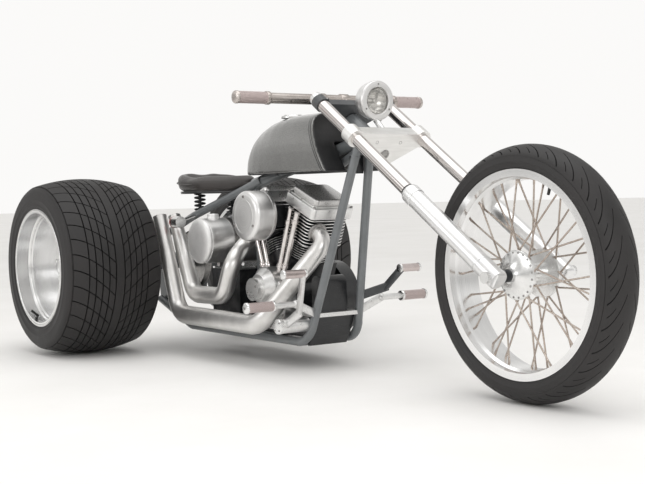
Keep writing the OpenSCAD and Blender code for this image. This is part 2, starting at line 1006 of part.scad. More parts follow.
module front_hub() {
    half = [[axle_r + run_fit, hub_half], [22, hub_half], [22, flange_h + 4],
            [hub_flange_r, flange_h + 3], [hub_flange_r, flange_h - 3], [30, flange_h - 6]];
    color("silver")
        translate([wheelbase, 0, front_tyre_r])
            turned([for (p = half) p, for (i = [5:-1:0]) [half[i][0], -half[i][1]]], 1);
}

module front_spokes() {
    color("#a79f92")
        translate([wheelbase, 0, front_tyre_r])
            rotate([90, 0, 0])
                intersection() {
                    for (side = [-1, 1], i = [0:spokes_per_side - 1])
                        let (a = (i + side / 4) * 360 / spokes_per_side,
                             lean = (i % 2 == 0 ? 1 : -1) * 62,
                             foot = [56 * cos(a), 56 * sin(a), side * (flange_h + (i % 2 == 0 ? 4 : -4))],
                             rim_end = [270 * cos(a + lean * 0.55), 270 * sin(a + lean * 0.55), side * 10])
                            rod(foot, rim_end, 2.5);
                    difference() {
                        translate([0, 0, -60]) cylinder(r = front_well_r - rim_wall, h = 120);
                        translate([0, 0, -60]) cylinder(r = hub_flange_r, h = 120);
                    }
                }
}

module front_rim() {
    half = [[front_well_r, 26], [front_seat_r, 33], [front_seat_r, front_lip_h - 4],
            [front_rim_r, front_lip_h - 4], [front_rim_r, front_lip_h],
            [front_seat_r - rim_wall, front_lip_h], [front_seat_r - rim_wall, 34],
            [front_well_r - rim_wall, 27]];
    color("silver")
        translate([wheelbase, 0, front_tyre_r])
            turned([for (p = half) p, for (i = [7:-1:0]) [half[i][0], -half[i][1]]], 1);
}

module front_tyre() {
    h = front_tyre_w / 2;
    outer = [for (a = [-78:6:78]) [front_tyre_r - 42 * (1 - cos(a)), h * sin(a)]];
    inner = [for (a = [66:-12:-66]) [front_tyre_r - 10 - 36 * (1 - cos(a)), (h - 9) * sin(a)]];
    color("#1b1a1a")
        translate([wheelbase, 0, front_tyre_r])
            turned([[front_seat_r, -front_lip_h + 4], [front_rim_r + 2, -front_lip_h + 4],
                    for (p = outer) p,
                    [front_rim_r + 2, front_lip_h - 4], [front_seat_r, front_lip_h - 4],
                    [front_seat_r, front_lip_h - 16], [front_rim_r, front_lip_h - 14],
                    for (p = inner) p,
                    [front_rim_r, -front_lip_h + 14], [front_seat_r, -front_lip_h + 16]], 1);
}

module rear_rim(side) {
    lip = rear_lip_h;
    disc = lip - dish_depth;
    color("silver")
        translate([0, side * rear_track / 2, rear_tyre_r])
            turned([[spindle_r + run_fit, -lip + 5], [rear_hub_r, -lip + 5], [rear_hub_r, disc - 14],
                    [rear_well_r - rim_wall, disc - 14], [rear_well_r - rim_wall, -lip + 60],
                    [rear_seat_r - rim_wall, -lip + 45], [rear_seat_r - rim_wall, -lip],
                    [rear_rim_r, -lip], [rear_rim_r, -lip + 6], [rear_seat_r, -lip + 6],
                    [rear_seat_r, -lip + 48], [rear_well_r, -lip + 63],
                    [rear_well_r, lip - 63], [rear_seat_r, lip - 48], [rear_seat_r, lip - 6],
                    [rear_rim_r, lip - 6], [rear_rim_r, lip], [rear_seat_r - rim_wall, lip],
                    [rear_seat_r - rim_wall, lip - 45], [rear_well_r - rim_wall, lip - 60],
                    [rear_well_r - rim_wall, disc], [spindle_r + run_fit, disc]], side);
}

module rear_tyre(side) {
    h = rear_tyre_w / 2;
    seat_h = rear_lip_h - 6;
    edge = h - 17;
    crown = [for (y = [-edge:edge / 5:edge]) [rear_tyre_r - rear_crown * pow(y / edge, 2), y]];
    color("#1b1a1a")
        translate([0, side * rear_track / 2, rear_tyre_r])
            turned([[rear_seat_r, -seat_h], [rear_rim_r + 1, -seat_h], [rear_rim_r + 8, -h + 4],
                    [rear_rim_r + 45, -h], [rear_tyre_r - 42, -h], [rear_tyre_r - 30, -h + 4],
                    for (p = crown) p,
                    [rear_tyre_r - 30, h - 4], [rear_tyre_r - 42, h], [rear_rim_r + 45, h],
                    [rear_rim_r + 8, h - 4], [rear_rim_r + 1, seat_h], [rear_seat_r, seat_h],
                    [rear_seat_r, seat_h - 20], [rear_rim_r + 6, seat_h - 16],
                    [rear_rim_r + 45, h - 12], [rear_tyre_r - 44, h - 14], [rear_tyre_r - 20, edge * 0.6],
                    [rear_tyre_r - 20, -edge * 0.6], [rear_tyre_r - 44, -h + 14],
                    [rear_rim_r + 45, -h + 12], [rear_rim_r + 6, -seat_h + 16],
                    [rear_seat_r, -seat_h + 20]], side);
}

// ---------------------------------------------------------------- the parts

placed() backbone();
placed() downtubes();
placed() lower_rails();
placed() top_rails();
placed() cross_members();
placed() rear_axle_housing();
placed() rear_pulley();
placed() drive_belt();
placed() fuel_tank();
placed() seat_pad();
placed() seat_springs();
placed() oil_tank();
placed() crankcase();
placed() cylinders();
placed() rocker_boxes();
placed() pushrod_tubes();
placed() cam_cover();
placed() air_cleaner();
placed() carburettor();
placed() front_exhaust();
placed() rear_exhaust();
placed() primary_cover();
placed() gearbox();
placed() front_block();
placed() front_strut();
placed() belly_pan();
placed() ignition_coil();
placed() tail_lamps();
placed() brake_pedal();
placed() shift_lever();
placed() foot_pegs();
placed() fork_tubes();
placed() fork_legs();
placed() upper_clamp();
placed() lower_clamp();
placed() handlebar();
placed() grips();
placed() headlight();
placed() headlight_lens();
placed() front_axle();
placed() front_hub();
placed() front_spokes();
placed() front_rim();
placed() front_tyre();
placed() rear_rim(-1);  // rear_rim_right
placed() rear_rim(1);  // rear_rim_left
placed() rear_tyre(-1);  // rear_tyre_right
placed() rear_tyre(1);  // rear_tyre_left
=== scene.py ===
import bpy
import bmesh
import math
from mathutils import Matrix, Vector


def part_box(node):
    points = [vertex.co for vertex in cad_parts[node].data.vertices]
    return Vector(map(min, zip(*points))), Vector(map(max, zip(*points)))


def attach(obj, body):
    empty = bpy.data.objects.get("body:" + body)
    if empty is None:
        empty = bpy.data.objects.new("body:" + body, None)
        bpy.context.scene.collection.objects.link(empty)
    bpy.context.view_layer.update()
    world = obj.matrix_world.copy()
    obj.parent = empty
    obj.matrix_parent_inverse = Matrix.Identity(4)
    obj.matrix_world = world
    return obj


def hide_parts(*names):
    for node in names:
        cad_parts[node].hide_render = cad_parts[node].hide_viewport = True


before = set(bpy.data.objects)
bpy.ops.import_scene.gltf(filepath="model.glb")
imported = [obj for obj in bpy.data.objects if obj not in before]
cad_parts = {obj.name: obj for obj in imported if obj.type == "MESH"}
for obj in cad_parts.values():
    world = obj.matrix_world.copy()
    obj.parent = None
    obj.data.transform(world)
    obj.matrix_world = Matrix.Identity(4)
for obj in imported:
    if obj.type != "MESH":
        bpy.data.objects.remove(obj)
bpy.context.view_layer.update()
scene = bpy.context.scene
print("frame loaded")

def middle(node):
    low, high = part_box(node)
    return (Vector(low) + Vector(high)) / 2

rearAxle = middle("rear_tyre_right")
frontAxle = middle("front_tyre")
rearAxleX = rearAxle.x
rake = math.radians(56.5)
forkFrame = Matrix.Translation(frontAxle) @ Matrix.Rotation(-rake, 4, "Y")  # z runs up the fork
crank = Vector((rearAxleX + 0.8, 0, 0.212))
veeAngle = math.radians(45)

def at(x, y, z):  # millimetres from the rear axle, the middle and the floor
    return Vector((rearAxleX + x / 1000, y / 1000, z / 1000))

def onCylinder(side):  # z runs up one cylinder of the engine
    return Matrix.Translation(crank) @ Matrix.Rotation(side * veeAngle / 2, 4, "Y")

def facing(place, direction):  # z runs along a direction
    return Matrix.Translation(place) @ Vector(direction).to_track_quat("Z", "Y").to_matrix().to_4x4()

def startMaterial(name, look):
    material = bpy.data.materials.new(name)
    material.use_nodes = True
    tree = material.node_tree
    shader = tree.nodes["Principled BSDF"]
    shader.inputs["Metallic"].default_value = look.get("metal", 0)
    shader.inputs["IOR"].default_value = look.get("ior", 1.5)
    shader.inputs["Specular IOR Level"].default_value = look.get("specular", 0.5)
    shader.inputs["Coat Weight"].default_value = look.get("coat", 0)
    shader.inputs["Coat Roughness"].default_value = look.get("coatRough", 0.05)
    shader.inputs["Sheen Weight"].default_value = look.get("sheen", 0)
    shader.inputs["Transmission Weight"].default_value = look.get("clear", 0)
    coords = tree.nodes.new("ShaderNodeTexCoord").outputs["Object"]
    return material, tree, shader, coords

def moved(tree, coords, location=(0, 0, 0), rotation=(0, 0, 0), scale=(1, 1, 1)):
    node = tree.nodes.new("ShaderNodeMapping")
    node.vector_type = "TEXTURE"
    node.inputs["Location"].default_value = location
    node.inputs["Rotation"].default_value = rotation
    node.inputs["Scale"].default_value = scale
    tree.links.new(coords, node.inputs["Vector"])
    return node.outputs["Vector"]

def mathNode(tree, kind, first, second=None):
    node = tree.nodes.new("ShaderNodeMath")
    node.operation = kind
    for socket, value in zip(node.inputs, (first, second)):
        if value is None:
            continue
        if isinstance(value, (int, float)):
            socket.default_value = value
        else:
            tree.links.new(value, socket)
    return node.outputs[0]

def noise(tree, coords, scale, detail=4, rough=0.55):
    node = tree.nodes.new("ShaderNodeTexNoise")
    node.inputs["Scale"].default_value = scale
    node.inputs["Detail"].default_value = detail
    node.inputs["Roughness"].default_value = rough
    tree.links.new(coords, node.inputs["Vector"])
    return node.outputs["Fac"]

def ramp(tree, value, stops):
    node = tree.nodes.new("ShaderNodeValToRGB")
    while len(node.color_ramp.elements) < len(stops):
        node.color_ramp.elements.new(0.5)
    for element, (place, colour) in zip(node.color_ramp.elements, stops):
        element.position = place
        element.color = (*colour, 1) if len(colour) == 3 else colour
    tree.links.new(value, node.inputs["Fac"])
    return node.outputs["Color"]

def spread(tree, value, low, high, fromLow=0.3, fromHigh=0.7):
    node = tree.nodes.new("ShaderNodeMapRange")
    for name, number in (("From Min", fromLow), ("From Max", fromHigh), ("To Min", low), ("To Max", high)):
        node.inputs[name].default_value = number
    tree.links.new(value, node.inputs["Value"])
    return node.outputs["Result"]

def bump(tree, shader, height, depth, strength=1.0, before=None):
    node = tree.nodes.new("ShaderNodeBump")
    node.inputs["Distance"].default_value = depth
    node.inputs["Strength"].default_value = strength
    tree.links.new(height, node.inputs["Height"])
    if before is not None:
        tree.links.new(before, node.inputs["Normal"])
    tree.links.new(node.outputs["Normal"], shader.inputs["Normal"])
    return node.outputs["Normal"]

def roundAbout(tree, coords, centre, axis):  # (distance from the axis, along it, angle round it)
    local = moved(tree, coords, location=centre)
    parts = tree.nodes.new("ShaderNodeSeparateXYZ")
    tree.links.new(local, parts.inputs[0])
    x, y, z = parts.outputs
    along, a, b = {"X": (x, y, z), "Y": (y, x, z), "Z": (z, x, y)}[axis]
    away = mathNode(tree, "SQRT", mathNode(tree, "ADD", mathNode(tree, "MULTIPLY", a, a),
                                           mathNode(tree, "MULTIPLY", b, b)))
    return away, along, mathNode(tree, "ARCTAN2", b, a)

def joined(tree, x, y, z):
    node = tree.nodes.new("ShaderNodeCombineXYZ")
    for socket, value in zip(node.inputs, (x, y, z)):
        if isinstance(value, (int, float)):
            socket.default_value = value
        else:
            tree.links.new(value, socket)
    return node.outputs[0]

def paintMaterial(name, look):
    material, tree, shader, coords = startMaterial(name, look)
    patches = noise(tree, coords, look["patches"], 6, 0.6)
    tree.links.new(ramp(tree, patches, ((0.35, look["dark"]), (0.68, look["light"]))),
                   shader.inputs["Base Color"])
    fine = noise(tree, coords, look["grain"], 3)
    tree.links.new(spread(tree, fine, look["rough"][0], look["rough"][1]), shader.inputs["Roughness"])
    bump(tree, shader, fine, look["depth"], look.get("strength", 0.3))
    return material

def brushedMaterial(name, look):
    material, tree, shader, coords = startMaterial(name, look)
    lines = moved(tree, coords, rotation=look.get("turn", (0, 0, 0)), scale=look["stretch"])
    hair = noise(tree, lines, look["grain"], 5, 0.65)
    patches = noise(tree, coords, look["patches"], 4)
    tone = mathNode(tree, "ADD", mathNode(tree, "MULTIPLY", hair, 0.55),
                    mathNode(tree, "MULTIPLY", patches, 0.45))
    tree.links.new(ramp(tree, tone, ((0.36, look["dark"]), (0.64, look["light"]))),
                   shader.inputs["Base Color"])
    tree.links.new(spread(tree, tone, look["rough"][0], look["rough"][1]), shader.inputs["Roughness"])
    bump(tree, shader, hair, look["depth"], look.get("strength", 0.1))
    return material

def spunMaterial(name, look, centre, axis="Y"):
    material, tree, shader, coords = startMaterial(name, look)
    away, along, angle = roundAbout(tree, coords, centre, axis)
    rings = noise(tree, joined(tree, away, along, 0), look["grain"], 5, 0.7)
    wide = noise(tree, joined(tree, away, along, mathNode(tree, "MULTIPLY", angle, 0.002)),
                 look["grain"] / 14, 2)
    patches = noise(tree, coords, look["patches"], 4)
    tone = mathNode(tree, "ADD", mathNode(tree, "MULTIPLY", rings, 0.4),
                    mathNode(tree, "ADD", mathNode(tree, "MULTIPLY", wide, 0.25),
                             mathNode(tree, "MULTIPLY", patches, 0.35)))
    tree.links.new(ramp(tree, tone, ((0.38, look["dark"]), (0.62, look["light"]))),
                   shader.inputs["Base Color"])
    tree.links.new(spread(tree, tone, look["rough"][0], look["rough"][1], 0.36, 0.64),
                   shader.inputs["Roughness"])
    bump(tree, shader, rings, look["depth"], look.get("strength", 0.12))
    return material

def knurledMaterial(name, look, centre):
    material, tree, shader, coords = startMaterial(name, look)
    away, along, angle = roundAbout(tree, coords, centre, "Y")
    turns = mathNode(tree, "MULTIPLY", angle, look["teeth"])
    run = mathNode(tree, "MULTIPLY", along, look["pitch"])
    right = mathNode(tree, "SINE", mathNode(tree, "ADD", turns, run))
    left = mathNode(tree, "SINE", mathNode(tree, "SUBTRACT", turns, run))
    diamonds = mathNode(tree, "MULTIPLY", right, left)
    tree.links.new(ramp(tree, spread(tree, diamonds, 0, 1, -0.8, 0.8),
                        ((0.1, look["dark"]), (0.6, look["light"]))),
                   shader.inputs["Base Color"])
    tree.links.new(spread(tree, noise(tree, coords, 60), *look["rough"]), shader.inputs["Roughness"])
    bump(tree, shader, diamonds, look["depth"], 1.0)
    return material

def rubberMaterial(name, look):
    material, tree, shader, coords = startMaterial(name, look)
    patches = noise(tree, coords, look["patches"], 6, 0.65)
    tree.links.new(ramp(tree, patches, ((0.3, look["dark"]), (0.72, look["light"]))),
                   shader.inputs["Base Color"])
    fine = noise(tree, coords, look["grain"], 4, 0.7)
    tree.links.new(spread(tree, patches, *look["rough"]), shader.inputs["Roughness"])
    bump(tree, shader, fine, look["depth"], 0.5)
    return material

def leatherMaterial(name, look):
    material, tree, shader, coords = startMaterial(name, look)
    cells = tree.nodes.new("ShaderNodeTexVoronoi")
    cells.feature = "DISTANCE_TO_EDGE"
    cells.inputs["Scale"].default_value = look["cells"]
    tree.links.new(coords, cells.inputs["Vector"])
    grain = spread(tree, cells.outputs["Distance"], 0, 1, 0.0, 0.12)
    creases = noise(tree, coords, look["creases"], 6, 0.7)
    patches = noise(tree, coords, look["patches"], 5)
    tree.links.new(ramp(tree, patches, ((0.34, look["dark"]), (0.7, look["light"]))),
                   shader.inputs["Base Color"])
    tree.links.new(spread(tree, patches, *look["rough"]), shader.inputs["Roughness"])
    first = bump(tree, shader, grain, look["depth"], 0.5)
    bump(tree, shader, creases, look["depth"] * 3, 0.35, before=first)
    return material

def glassMaterial(name, look):
    material, tree, shader, coords = startMaterial(name, look)
    dust = noise(tree, coords, look["patches"], 6, 0.7)
    tree.links.new(ramp(tree, dust, ((0.3, look["dark"]), (0.7, look["light"]))), shader.inputs["Base Color"])
    tree.links.new(spread(tree, dust, *look["rough"]), shader.inputs["Roughness"])
    return material

finishes = {
    "framePaint": dict(dark=(0.145, 0.155, 0.162), light=(0.20, 0.212, 0.218), rough=(0.30, 0.42), patches=9,
                       grain=420,
                       depth=0.0002, coat=0.35, coatRough=0.2, metal=0.25),
    "tankPaint": dict(dark=(0.135, 0.135, 0.130), light=(0.185, 0.184, 0.178), rough=(0.22, 0.32), patches=5,
                      grain=900,
                      depth=0.0001, coat=1.0, coatRough=0.05, metal=0.45),
    "clampPaint": dict(dark=(0.055, 0.058, 0.062), light=(0.09, 0.095, 0.10), rough=(0.35, 0.5), patches=12,
                       grain=500,
                       depth=0.0002, coat=0.2, coatRough=0.2, metal=0.4),
    # painted shade: near black standing in for the shade on the tank's recessed front face and underside
    "paintedShadeBlack": dict(dark=(0.008, 0.008, 0.009), light=(0.016, 0.016, 0.017), rough=(0.4, 0.6), patches=30,
                      grain=600,
                      depth=0.0002),
    "blackEnamel": dict(dark=(0.006, 0.0065, 0.008), light=(0.014, 0.015, 0.017), rough=(0.26, 0.46),
                        patches=16,
                        grain=260, depth=0.0006, coat=0.3, coatRough=0.15),
    "lidGloss": dict(dark=(0.56, 0.552, 0.545), light=(0.70, 0.692, 0.685), rough=(0.24, 0.36), patches=8,
                     grain=300,
                     depth=0.0002, coat=0.6, coatRough=0.08, metal=0.8),
    "darkSteel": dict(dark=(0.022, 0.023, 0.025), light=(0.075, 0.076, 0.08), rough=(0.32, 0.55), patches=22,
                      grain=320,
                      depth=0.0005, metal=0.7),
    "exhaustCoat": dict(dark=(0.62, 0.61, 0.595), light=(0.90, 0.89, 0.875), rough=(0.30, 0.42), patches=5,
                        grain=240,
                        depth=0.0002, metal=0.92),
    "exhaustSoot": dict(dark=(0.012, 0.011, 0.010), light=(0.04, 0.036, 0.032), rough=(0.7, 0.9), patches=40,
                        grain=400,
                        depth=0.0006),
    "satinCap": dict(dark=(0.72, 0.715, 0.71), light=(0.86, 0.855, 0.85), rough=(0.46, 0.6), patches=14,
                     grain=500,
                     depth=0.0001, metal=0.9),
    "redLens": dict(dark=(0.22, 0.008, 0.006), light=(0.34, 0.015, 0.01), rough=(0.12, 0.22), patches=40,
                    grain=300,
                    depth=0.0003, coat=0.6),
}
paints = {name: paintMaterial(name, look) for name, look in finishes.items()}

brushedLooks = {
    "brushedSteel": dict(dark=(0.42, 0.375, 0.35), light=(0.62, 0.575, 0.545), rough=(0.2, 0.34), patches=8,
                         grain=90,
                         stretch=(1, 14, 1), depth=0.0002, metal=1.0),
    "forkSatin": dict(dark=(0.78, 0.78, 0.78), light=(0.88, 0.88, 0.88), rough=(0.26, 0.38), patches=7,
                      grain=110,
                      stretch=(1, 1, 16), turn=(0, -rake, 0), depth=0.0002, metal=0.95),
    "forkChrome": dict(dark=(0.60, 0.56, 0.545), light=(0.76, 0.73, 0.715), rough=(0.04, 0.10), patches=5,
                       grain=60,
                       stretch=(1, 1, 12), turn=(0, -rake, 0), depth=0.00003, metal=1.0),
    "machinedPlate": dict(dark=(0.74, 0.735, 0.72), light=(0.88, 0.875, 0.86), rough=(0.26, 0.4), patches=6,
                          grain=120,
                          stretch=(1, 12, 1), depth=0.0002, metal=0.9),
    "castBright": dict(dark=(0.68, 0.678, 0.672), light=(0.82, 0.818, 0.81), rough=(0.24, 0.36), patches=11,
                       grain=150,
                       stretch=(5, 1, 1), depth=0.0003, metal=0.95),
    "polishedAlloy": dict(dark=(0.72, 0.72, 0.715), light=(0.86, 0.86, 0.855), rough=(0.2, 0.3), patches=6,
                          grain=70,
                          stretch=(1, 1, 1), depth=0.0001, metal=1.0),
    "spokeSteel": dict(dark=(0.33, 0.27, 0.23), light=(0.56, 0.50, 0.45), rough=(0.2, 0.32), patches=12,
                       grain=200,
                       stretch=(1, 1, 1), depth=0.0001, metal=1.0),
    "boltSteel": dict(dark=(0.22, 0.21, 0.205), light=(0.46, 0.45, 0.44), rough=(0.22, 0.4), patches=60,
                      grain=300,
                      stretch=(1, 1, 1), depth=0.0002, metal=1.0),
}
metals = {name: brushedMaterial(name, look) for name, look in brushedLooks.items()}

spunLook = dict(dark=(0.70, 0.695, 0.69), light=(0.88, 0.875, 0.87), rough=(0.32, 0.44), patches=5, grain=420,
                depth=0.0002, metal=0.97)
rimLook = dict(dark=(0.72, 0.72, 0.72), light=(0.90, 0.90, 0.90), rough=(0.16, 0.27), patches=4, grain=300,
               depth=0.00012, metal=1.0)
lampPlace = middle("headlight_lens")
spunTank = spunMaterial("spunTank", spunLook, middle("oil_tank"))
spunCleaner = spunMaterial("spunCleaner", spunLook, middle("air_cleaner"))
spunRear = spunMaterial("spunRear", rimLook, rearAxle)
spunFront = spunMaterial("spunFront", rimLook, frontAxle)
spunLamp = spunMaterial("spunLamp", spunLook, lampPlace, "X")
knurlLook = dict(dark=(0.34, 0.26, 0.25), light=(0.66, 0.57, 0.555), rough=(0.26, 0.4), teeth=22, pitch=1150,
                 depth=0.0006, metal=0.95)
gripMiddle = middle("grips")

knurledGrip = knurledMaterial("knurledGrip", knurlLook, (gripMiddle.x, 0, gripMiddle.z))
knurledPeg = knurledMaterial("knurledPeg", knurlLook, (rearAxleX + 1.038, 0, 0.224))
ribbedPad = brushedMaterial("ribbedPad",
                            dict(dark=(0.50, 0.43, 0.415), light=(0.72, 0.64, 0.625), rough=(0.26, 0.4),
                                              patches=30, grain=500, stretch=(1, 1, 1), depth=0.0004,
                                              strength=0.4, metal=0.95))
tyreRubber = rubberMaterial("tyreRubber",
                            dict(dark=(0.0135, 0.0128, 0.0128), light=(0.029, 0.0265, 0.0265),
                                 rough=(0.46, 0.68),
                                               patches=7, grain=240, depth=0.0005, specular=0.42))
grooveRubber = rubberMaterial("grooveRubber", dict(dark=(0.006, 0.006, 0.006), light=(0.012, 0.011, 0.011),
                                                   rough=(0.75, 0.9), patches=12, grain=300, depth=0.0005))
beltRubber = rubberMaterial("beltRubber",
                            dict(dark=(0.010, 0.010, 0.010), light=(0.022, 0.022, 0.022), rough=(0.6, 0.8),
                                               patches=20, grain=400, depth=0.0008))
seatLeather = leatherMaterial("seatLeather", dict(dark=(0.020, 0.0165, 0.0155), light=(0.042, 0.035, 0.032),
                                                  rough=(0.3, 0.46), patches=7, cells=420, creases=26,
                                                  depth=0.0005,
                                                  coat=0.12, coatRough=0.3, sheen=0.15))
lampGlass = glassMaterial("lampGlass",
                          dict(dark=(0.80, 0.79, 0.77), light=(0.92, 0.91, 0.89), rough=(0.05, 0.16),
                               patches=50,
                                            clear=1.0, ior=1.45))
print("materials made")

def newMesh():
    return bmesh.new()

def addPart(target, part, place=None, material=None):
    if place is not None:
        bmesh.ops.transform(part, matrix=place, verts=part.verts)
    if material is not None:
        for face in part.faces:
            face.material_index = material
    mesh = bpy.data.meshes.new("temporary")
    part.to_mesh(mesh)
    part.free()
    target.from_mesh(mesh)
    bpy.data.meshes.remove(mesh)

def lathe(outline, steps=72, closed=False):  # spins (radius, height) pairs about z
    part = bmesh.new()
    verts = [part.verts.new((radius, 0, height)) for radius, height in outline]
    edges = [part.edges.new(pair) for pair in zip(verts, verts[1:])]
    if closed:
        edges.append(part.edges.new((verts[-1], verts[0])))
    bmesh.ops.spin(part, geom=verts + edges, cent=(0, 0, 0), axis=(0, 0, 1), angle=2 * math.pi,
                   steps=steps, use_merge=True, use_duplicate=False)
    bmesh.ops.remove_doubles(part, verts=part.verts, dist=1e-6)
    bmesh.ops.recalc_face_normals(part, faces=part.faces)
    return part

def bar(start, end, radius, endRadius=None, sides=24, round=0.0):
    start, end = Vector(start), Vector(end)
    part = bmesh.new()
    bmesh.ops.create_cone(part, cap_ends=True, segments=sides, radius1=radius,
                          radius2=radius if endRadius is None else endRadius, depth=(end - start).length)
    if round:
        rim = [edge for edge in part.edges if abs(edge.verts[0].co.z - edge.verts[1].co.z) < 1e-6]
        bmesh.ops.bevel(part, geom=rim, offset=round, segments=2, profile=0.5, affect="EDGES", material=-1)
    bmesh.ops.transform(part, matrix=facing((start + end) / 2, end - start), verts=part.verts)
    return part

def block(size, bevel=0.0, segments=3, upright=0.0):  # a box with rounded edges, its middle at the origin
    part = bmesh.new()
    bmesh.ops.create_cube(part, size=1)
    bmesh.ops.scale(part, vec=size, verts=part.verts)
    if upright:
        edges = [edge for edge in part.edges if abs((edge.verts[0].co - edge.verts[1].co).normalized().z) > 0.9]
        bmesh.ops.bevel(part, geom=edges, offset=upright, segments=5, profile=0.5, affect="EDGES",
                        material=-1)
    if bevel:
        flat = [edge for edge in part.edges if abs((edge.verts[0].co - edge.verts[1].co).normalized().z) < 0.1
                or not upright]
        bmesh.ops.bevel(part, geom=flat, offset=bevel, segments=segments, profile=0.5, affect="EDGES",
                        material=-1)
    return part

def bolt(place, direction, radius=0.004, height=0.004):  # a socket cap screw
    part = lathe(((0, height * 0.3), (radius * 0.5, height * 0.3), (radius * 0.5, height),
                  (radius * 0.85, height),
                  (radius, height * 0.8), (radius, -0.001), (0, -0.001)), steps=12)
    bmesh.ops.transform(part, matrix=facing(place, direction), verts=part.verts)
    return part

def finishPiece(name, part, body, materials, replaces=(), sharp=38, bevel=0.0):
    mesh = bpy.data.meshes.new(name)
    part.to_mesh(mesh)
    part.free()
    for material in materials:
        mesh.materials.append(material)
    mesh.shade_smooth()
    mesh.set_sharp_from_angle(angle=math.radians(sharp))
    piece = bpy.data.objects.new(name, mesh)
    scene.collection.objects.link(piece)
    if bevel:
        edge = piece.modifiers.new("bevel", "BEVEL")
        edge.width = bevel
        edge.segments = 2
        edge.limit_method = "ANGLE"
    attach(piece, body)
    if replaces:
        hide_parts(*replaces)
    return piece

def roundedPath(points, bends, perBend=12):  # straight stretches joined by round bends
    path = [Vector(points[0])]
    for before, corner, after, bend in zip(points, points[1:], points[2:], bends):
        before, corner, after = Vector(before), Vector(corner), Vector(after)
        into, out = (corner - before).normalized(), (after - corner).normalized()
        turn = into.angle(out)
        cut = bend * math.tan(turn / 2)
        side = -into.cross(out).normalized().cross(into)
        centre = corner - cut * into - bend * side
        for step in range(perBend + 1):
            angle = turn * step / perBend
            path.append(centre + bend * (math.cos(angle) * side + math.sin(angle) * into))
    path.append(Vector(points[-1]))
    return path

def filled(path, gap):  # adds points so that no stretch is longer than the gap
    dense = [path[0]]
    for a, b in zip(path, path[1:]):
        parts = max(1, math.ceil((b - a).length / gap))
        dense += [a.lerp(b, step / parts) for step in range(1, parts + 1)]
    return dense

def sweep(path, radiusAt, sides=32, caps=True):  # a round tube along a path
    curve = bpy.data.curves.new("sweep", "CURVE")
    curve.dimensions = "3D"
    curve.bevel_depth = 1.0
    curve.bevel_resolution = max(1, sides // 4 - 1)
    curve.use_fill_caps = caps
    curve.twist_mode = "MINIMUM"
    spline = curve.splines.new("POLY")
    spline.points.add(len(path) - 1)
    total = sum((b - a).length for a, b in zip(path, path[1:]))
    run = 0.0
    for index, point in enumerate(path):
        if index:
            run += (point - path[index - 1]).length
        spline.points[index].co = (*point, 1)
        spline.points[index].radius = radiusAt(run / total)
    holder = bpy.data.objects.new("sweep", curve)
    mesh = bpy.data.meshes.new_from_object(holder)
    part = bmesh.new()
    part.from_mesh(mesh)
    bpy.data.objects.remove(holder)
    bpy.data.curves.remove(curve)
    bpy.data.meshes.remove(mesh)
    bmesh.ops.remove_doubles(part, verts=part.verts, dist=1e-6)
    bmesh.ops.recalc_face_normals(part, faces=part.faces)
    return part

def give(node, material):
    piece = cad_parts[node]
    piece.data.materials.clear()
    piece.data.materials.append(material)

def blendStops(stops):  # a smooth function through (place, value) pairs
    def value(t):
        for (t0, v0), (t1, v1) in zip(stops, stops[1:]):
            if t <= t1:
                share = (t - t0) / (t1 - t0) if t1 > t0 else 0
                share = share * share * (3 - 2 * share)
                return v0 + (v1 - v0) * share
        return stops[-1][1]
    return value

view = dict(place=(3.26174, -2.3172, 0.57544), azimuth=54.73, elevation=2.32, roll=-1.234, lens=67.83)
cameraData = bpy.data.cameras.new("camera")
cameraData.lens = view["lens"]
cameraData.sensor_width = 36
cameraData.clip_end = 60
camera = bpy.data.objects.new("camera", cameraData)
scene.collection.objects.link(camera)
camera.matrix_world = (Matrix.Translation(view["place"]) @ Matrix.Rotation(math.radians(view["azimuth"]), 4,
                                                                           "Z")
                       @ Matrix.Rotation(math.radians(90 - view["elevation"]), 4, "X")
                       @ Matrix.Rotation(math.radians(view["roll"]), 4, "Z"))
scene.camera = camera

studio = dict(backdrop=(1.0, 0.992, 0.98), backdropPower=0.965,
              bands=((0.0, 0.42), (0.50, 0.50), (0.56, 0.62),
              (0.66, 1.0), (0.80, 0.62), (1.0, 0.95)))
world = bpy.data.worlds.new("studio")
world.use_nodes = True
skyTree = world.node_tree
plain = skyTree.nodes["Background"]
plain.inputs["Color"].default_value = (*studio["backdrop"], 1)
plain.inputs["Strength"].default_value = studio["backdropPower"]
room = skyTree.nodes.new("ShaderNodeBackground")
direction = skyTree.nodes.new("ShaderNodeTexCoord").outputs["Generated"]
height = skyTree.nodes.new("ShaderNodeSeparateXYZ")
skyTree.links.new(direction, height.inputs[0])
cloud = noise(skyTree, direction, 1.6, 2)
shifted = mathNode(skyTree, "ADD", mathNode(skyTree, "MULTIPLY", height.outputs[2], 0.5),
                   mathNode(skyTree, "ADD", 0.44, mathNode(skyTree, "MULTIPLY", cloud, 0.12)))
skyTree.links.new(ramp(skyTree, shifted,
                       [(place, (power, power * 0.99, power * 0.97)) for place, power in studio["bands"]]),
                  room.inputs["Color"])
pick = skyTree.nodes.new("ShaderNodeMixShader")
rays = skyTree.nodes.new("ShaderNodeLightPath").outputs
skyTree.links.new(mathNode(skyTree, "MAXIMUM", rays["Is Camera Ray"], rays["Is Diffuse Ray"]), pick.inputs[0])
skyTree.links.new(room.outputs[0], pick.inputs[1])
skyTree.links.new(plain.outputs[0], pick.inputs[2])
skyTree.links.new(pick.outputs[0], skyTree.nodes["World Output"].inputs["Surface"])
scene.world = world
scene.view_settings.view_transform = "Standard"

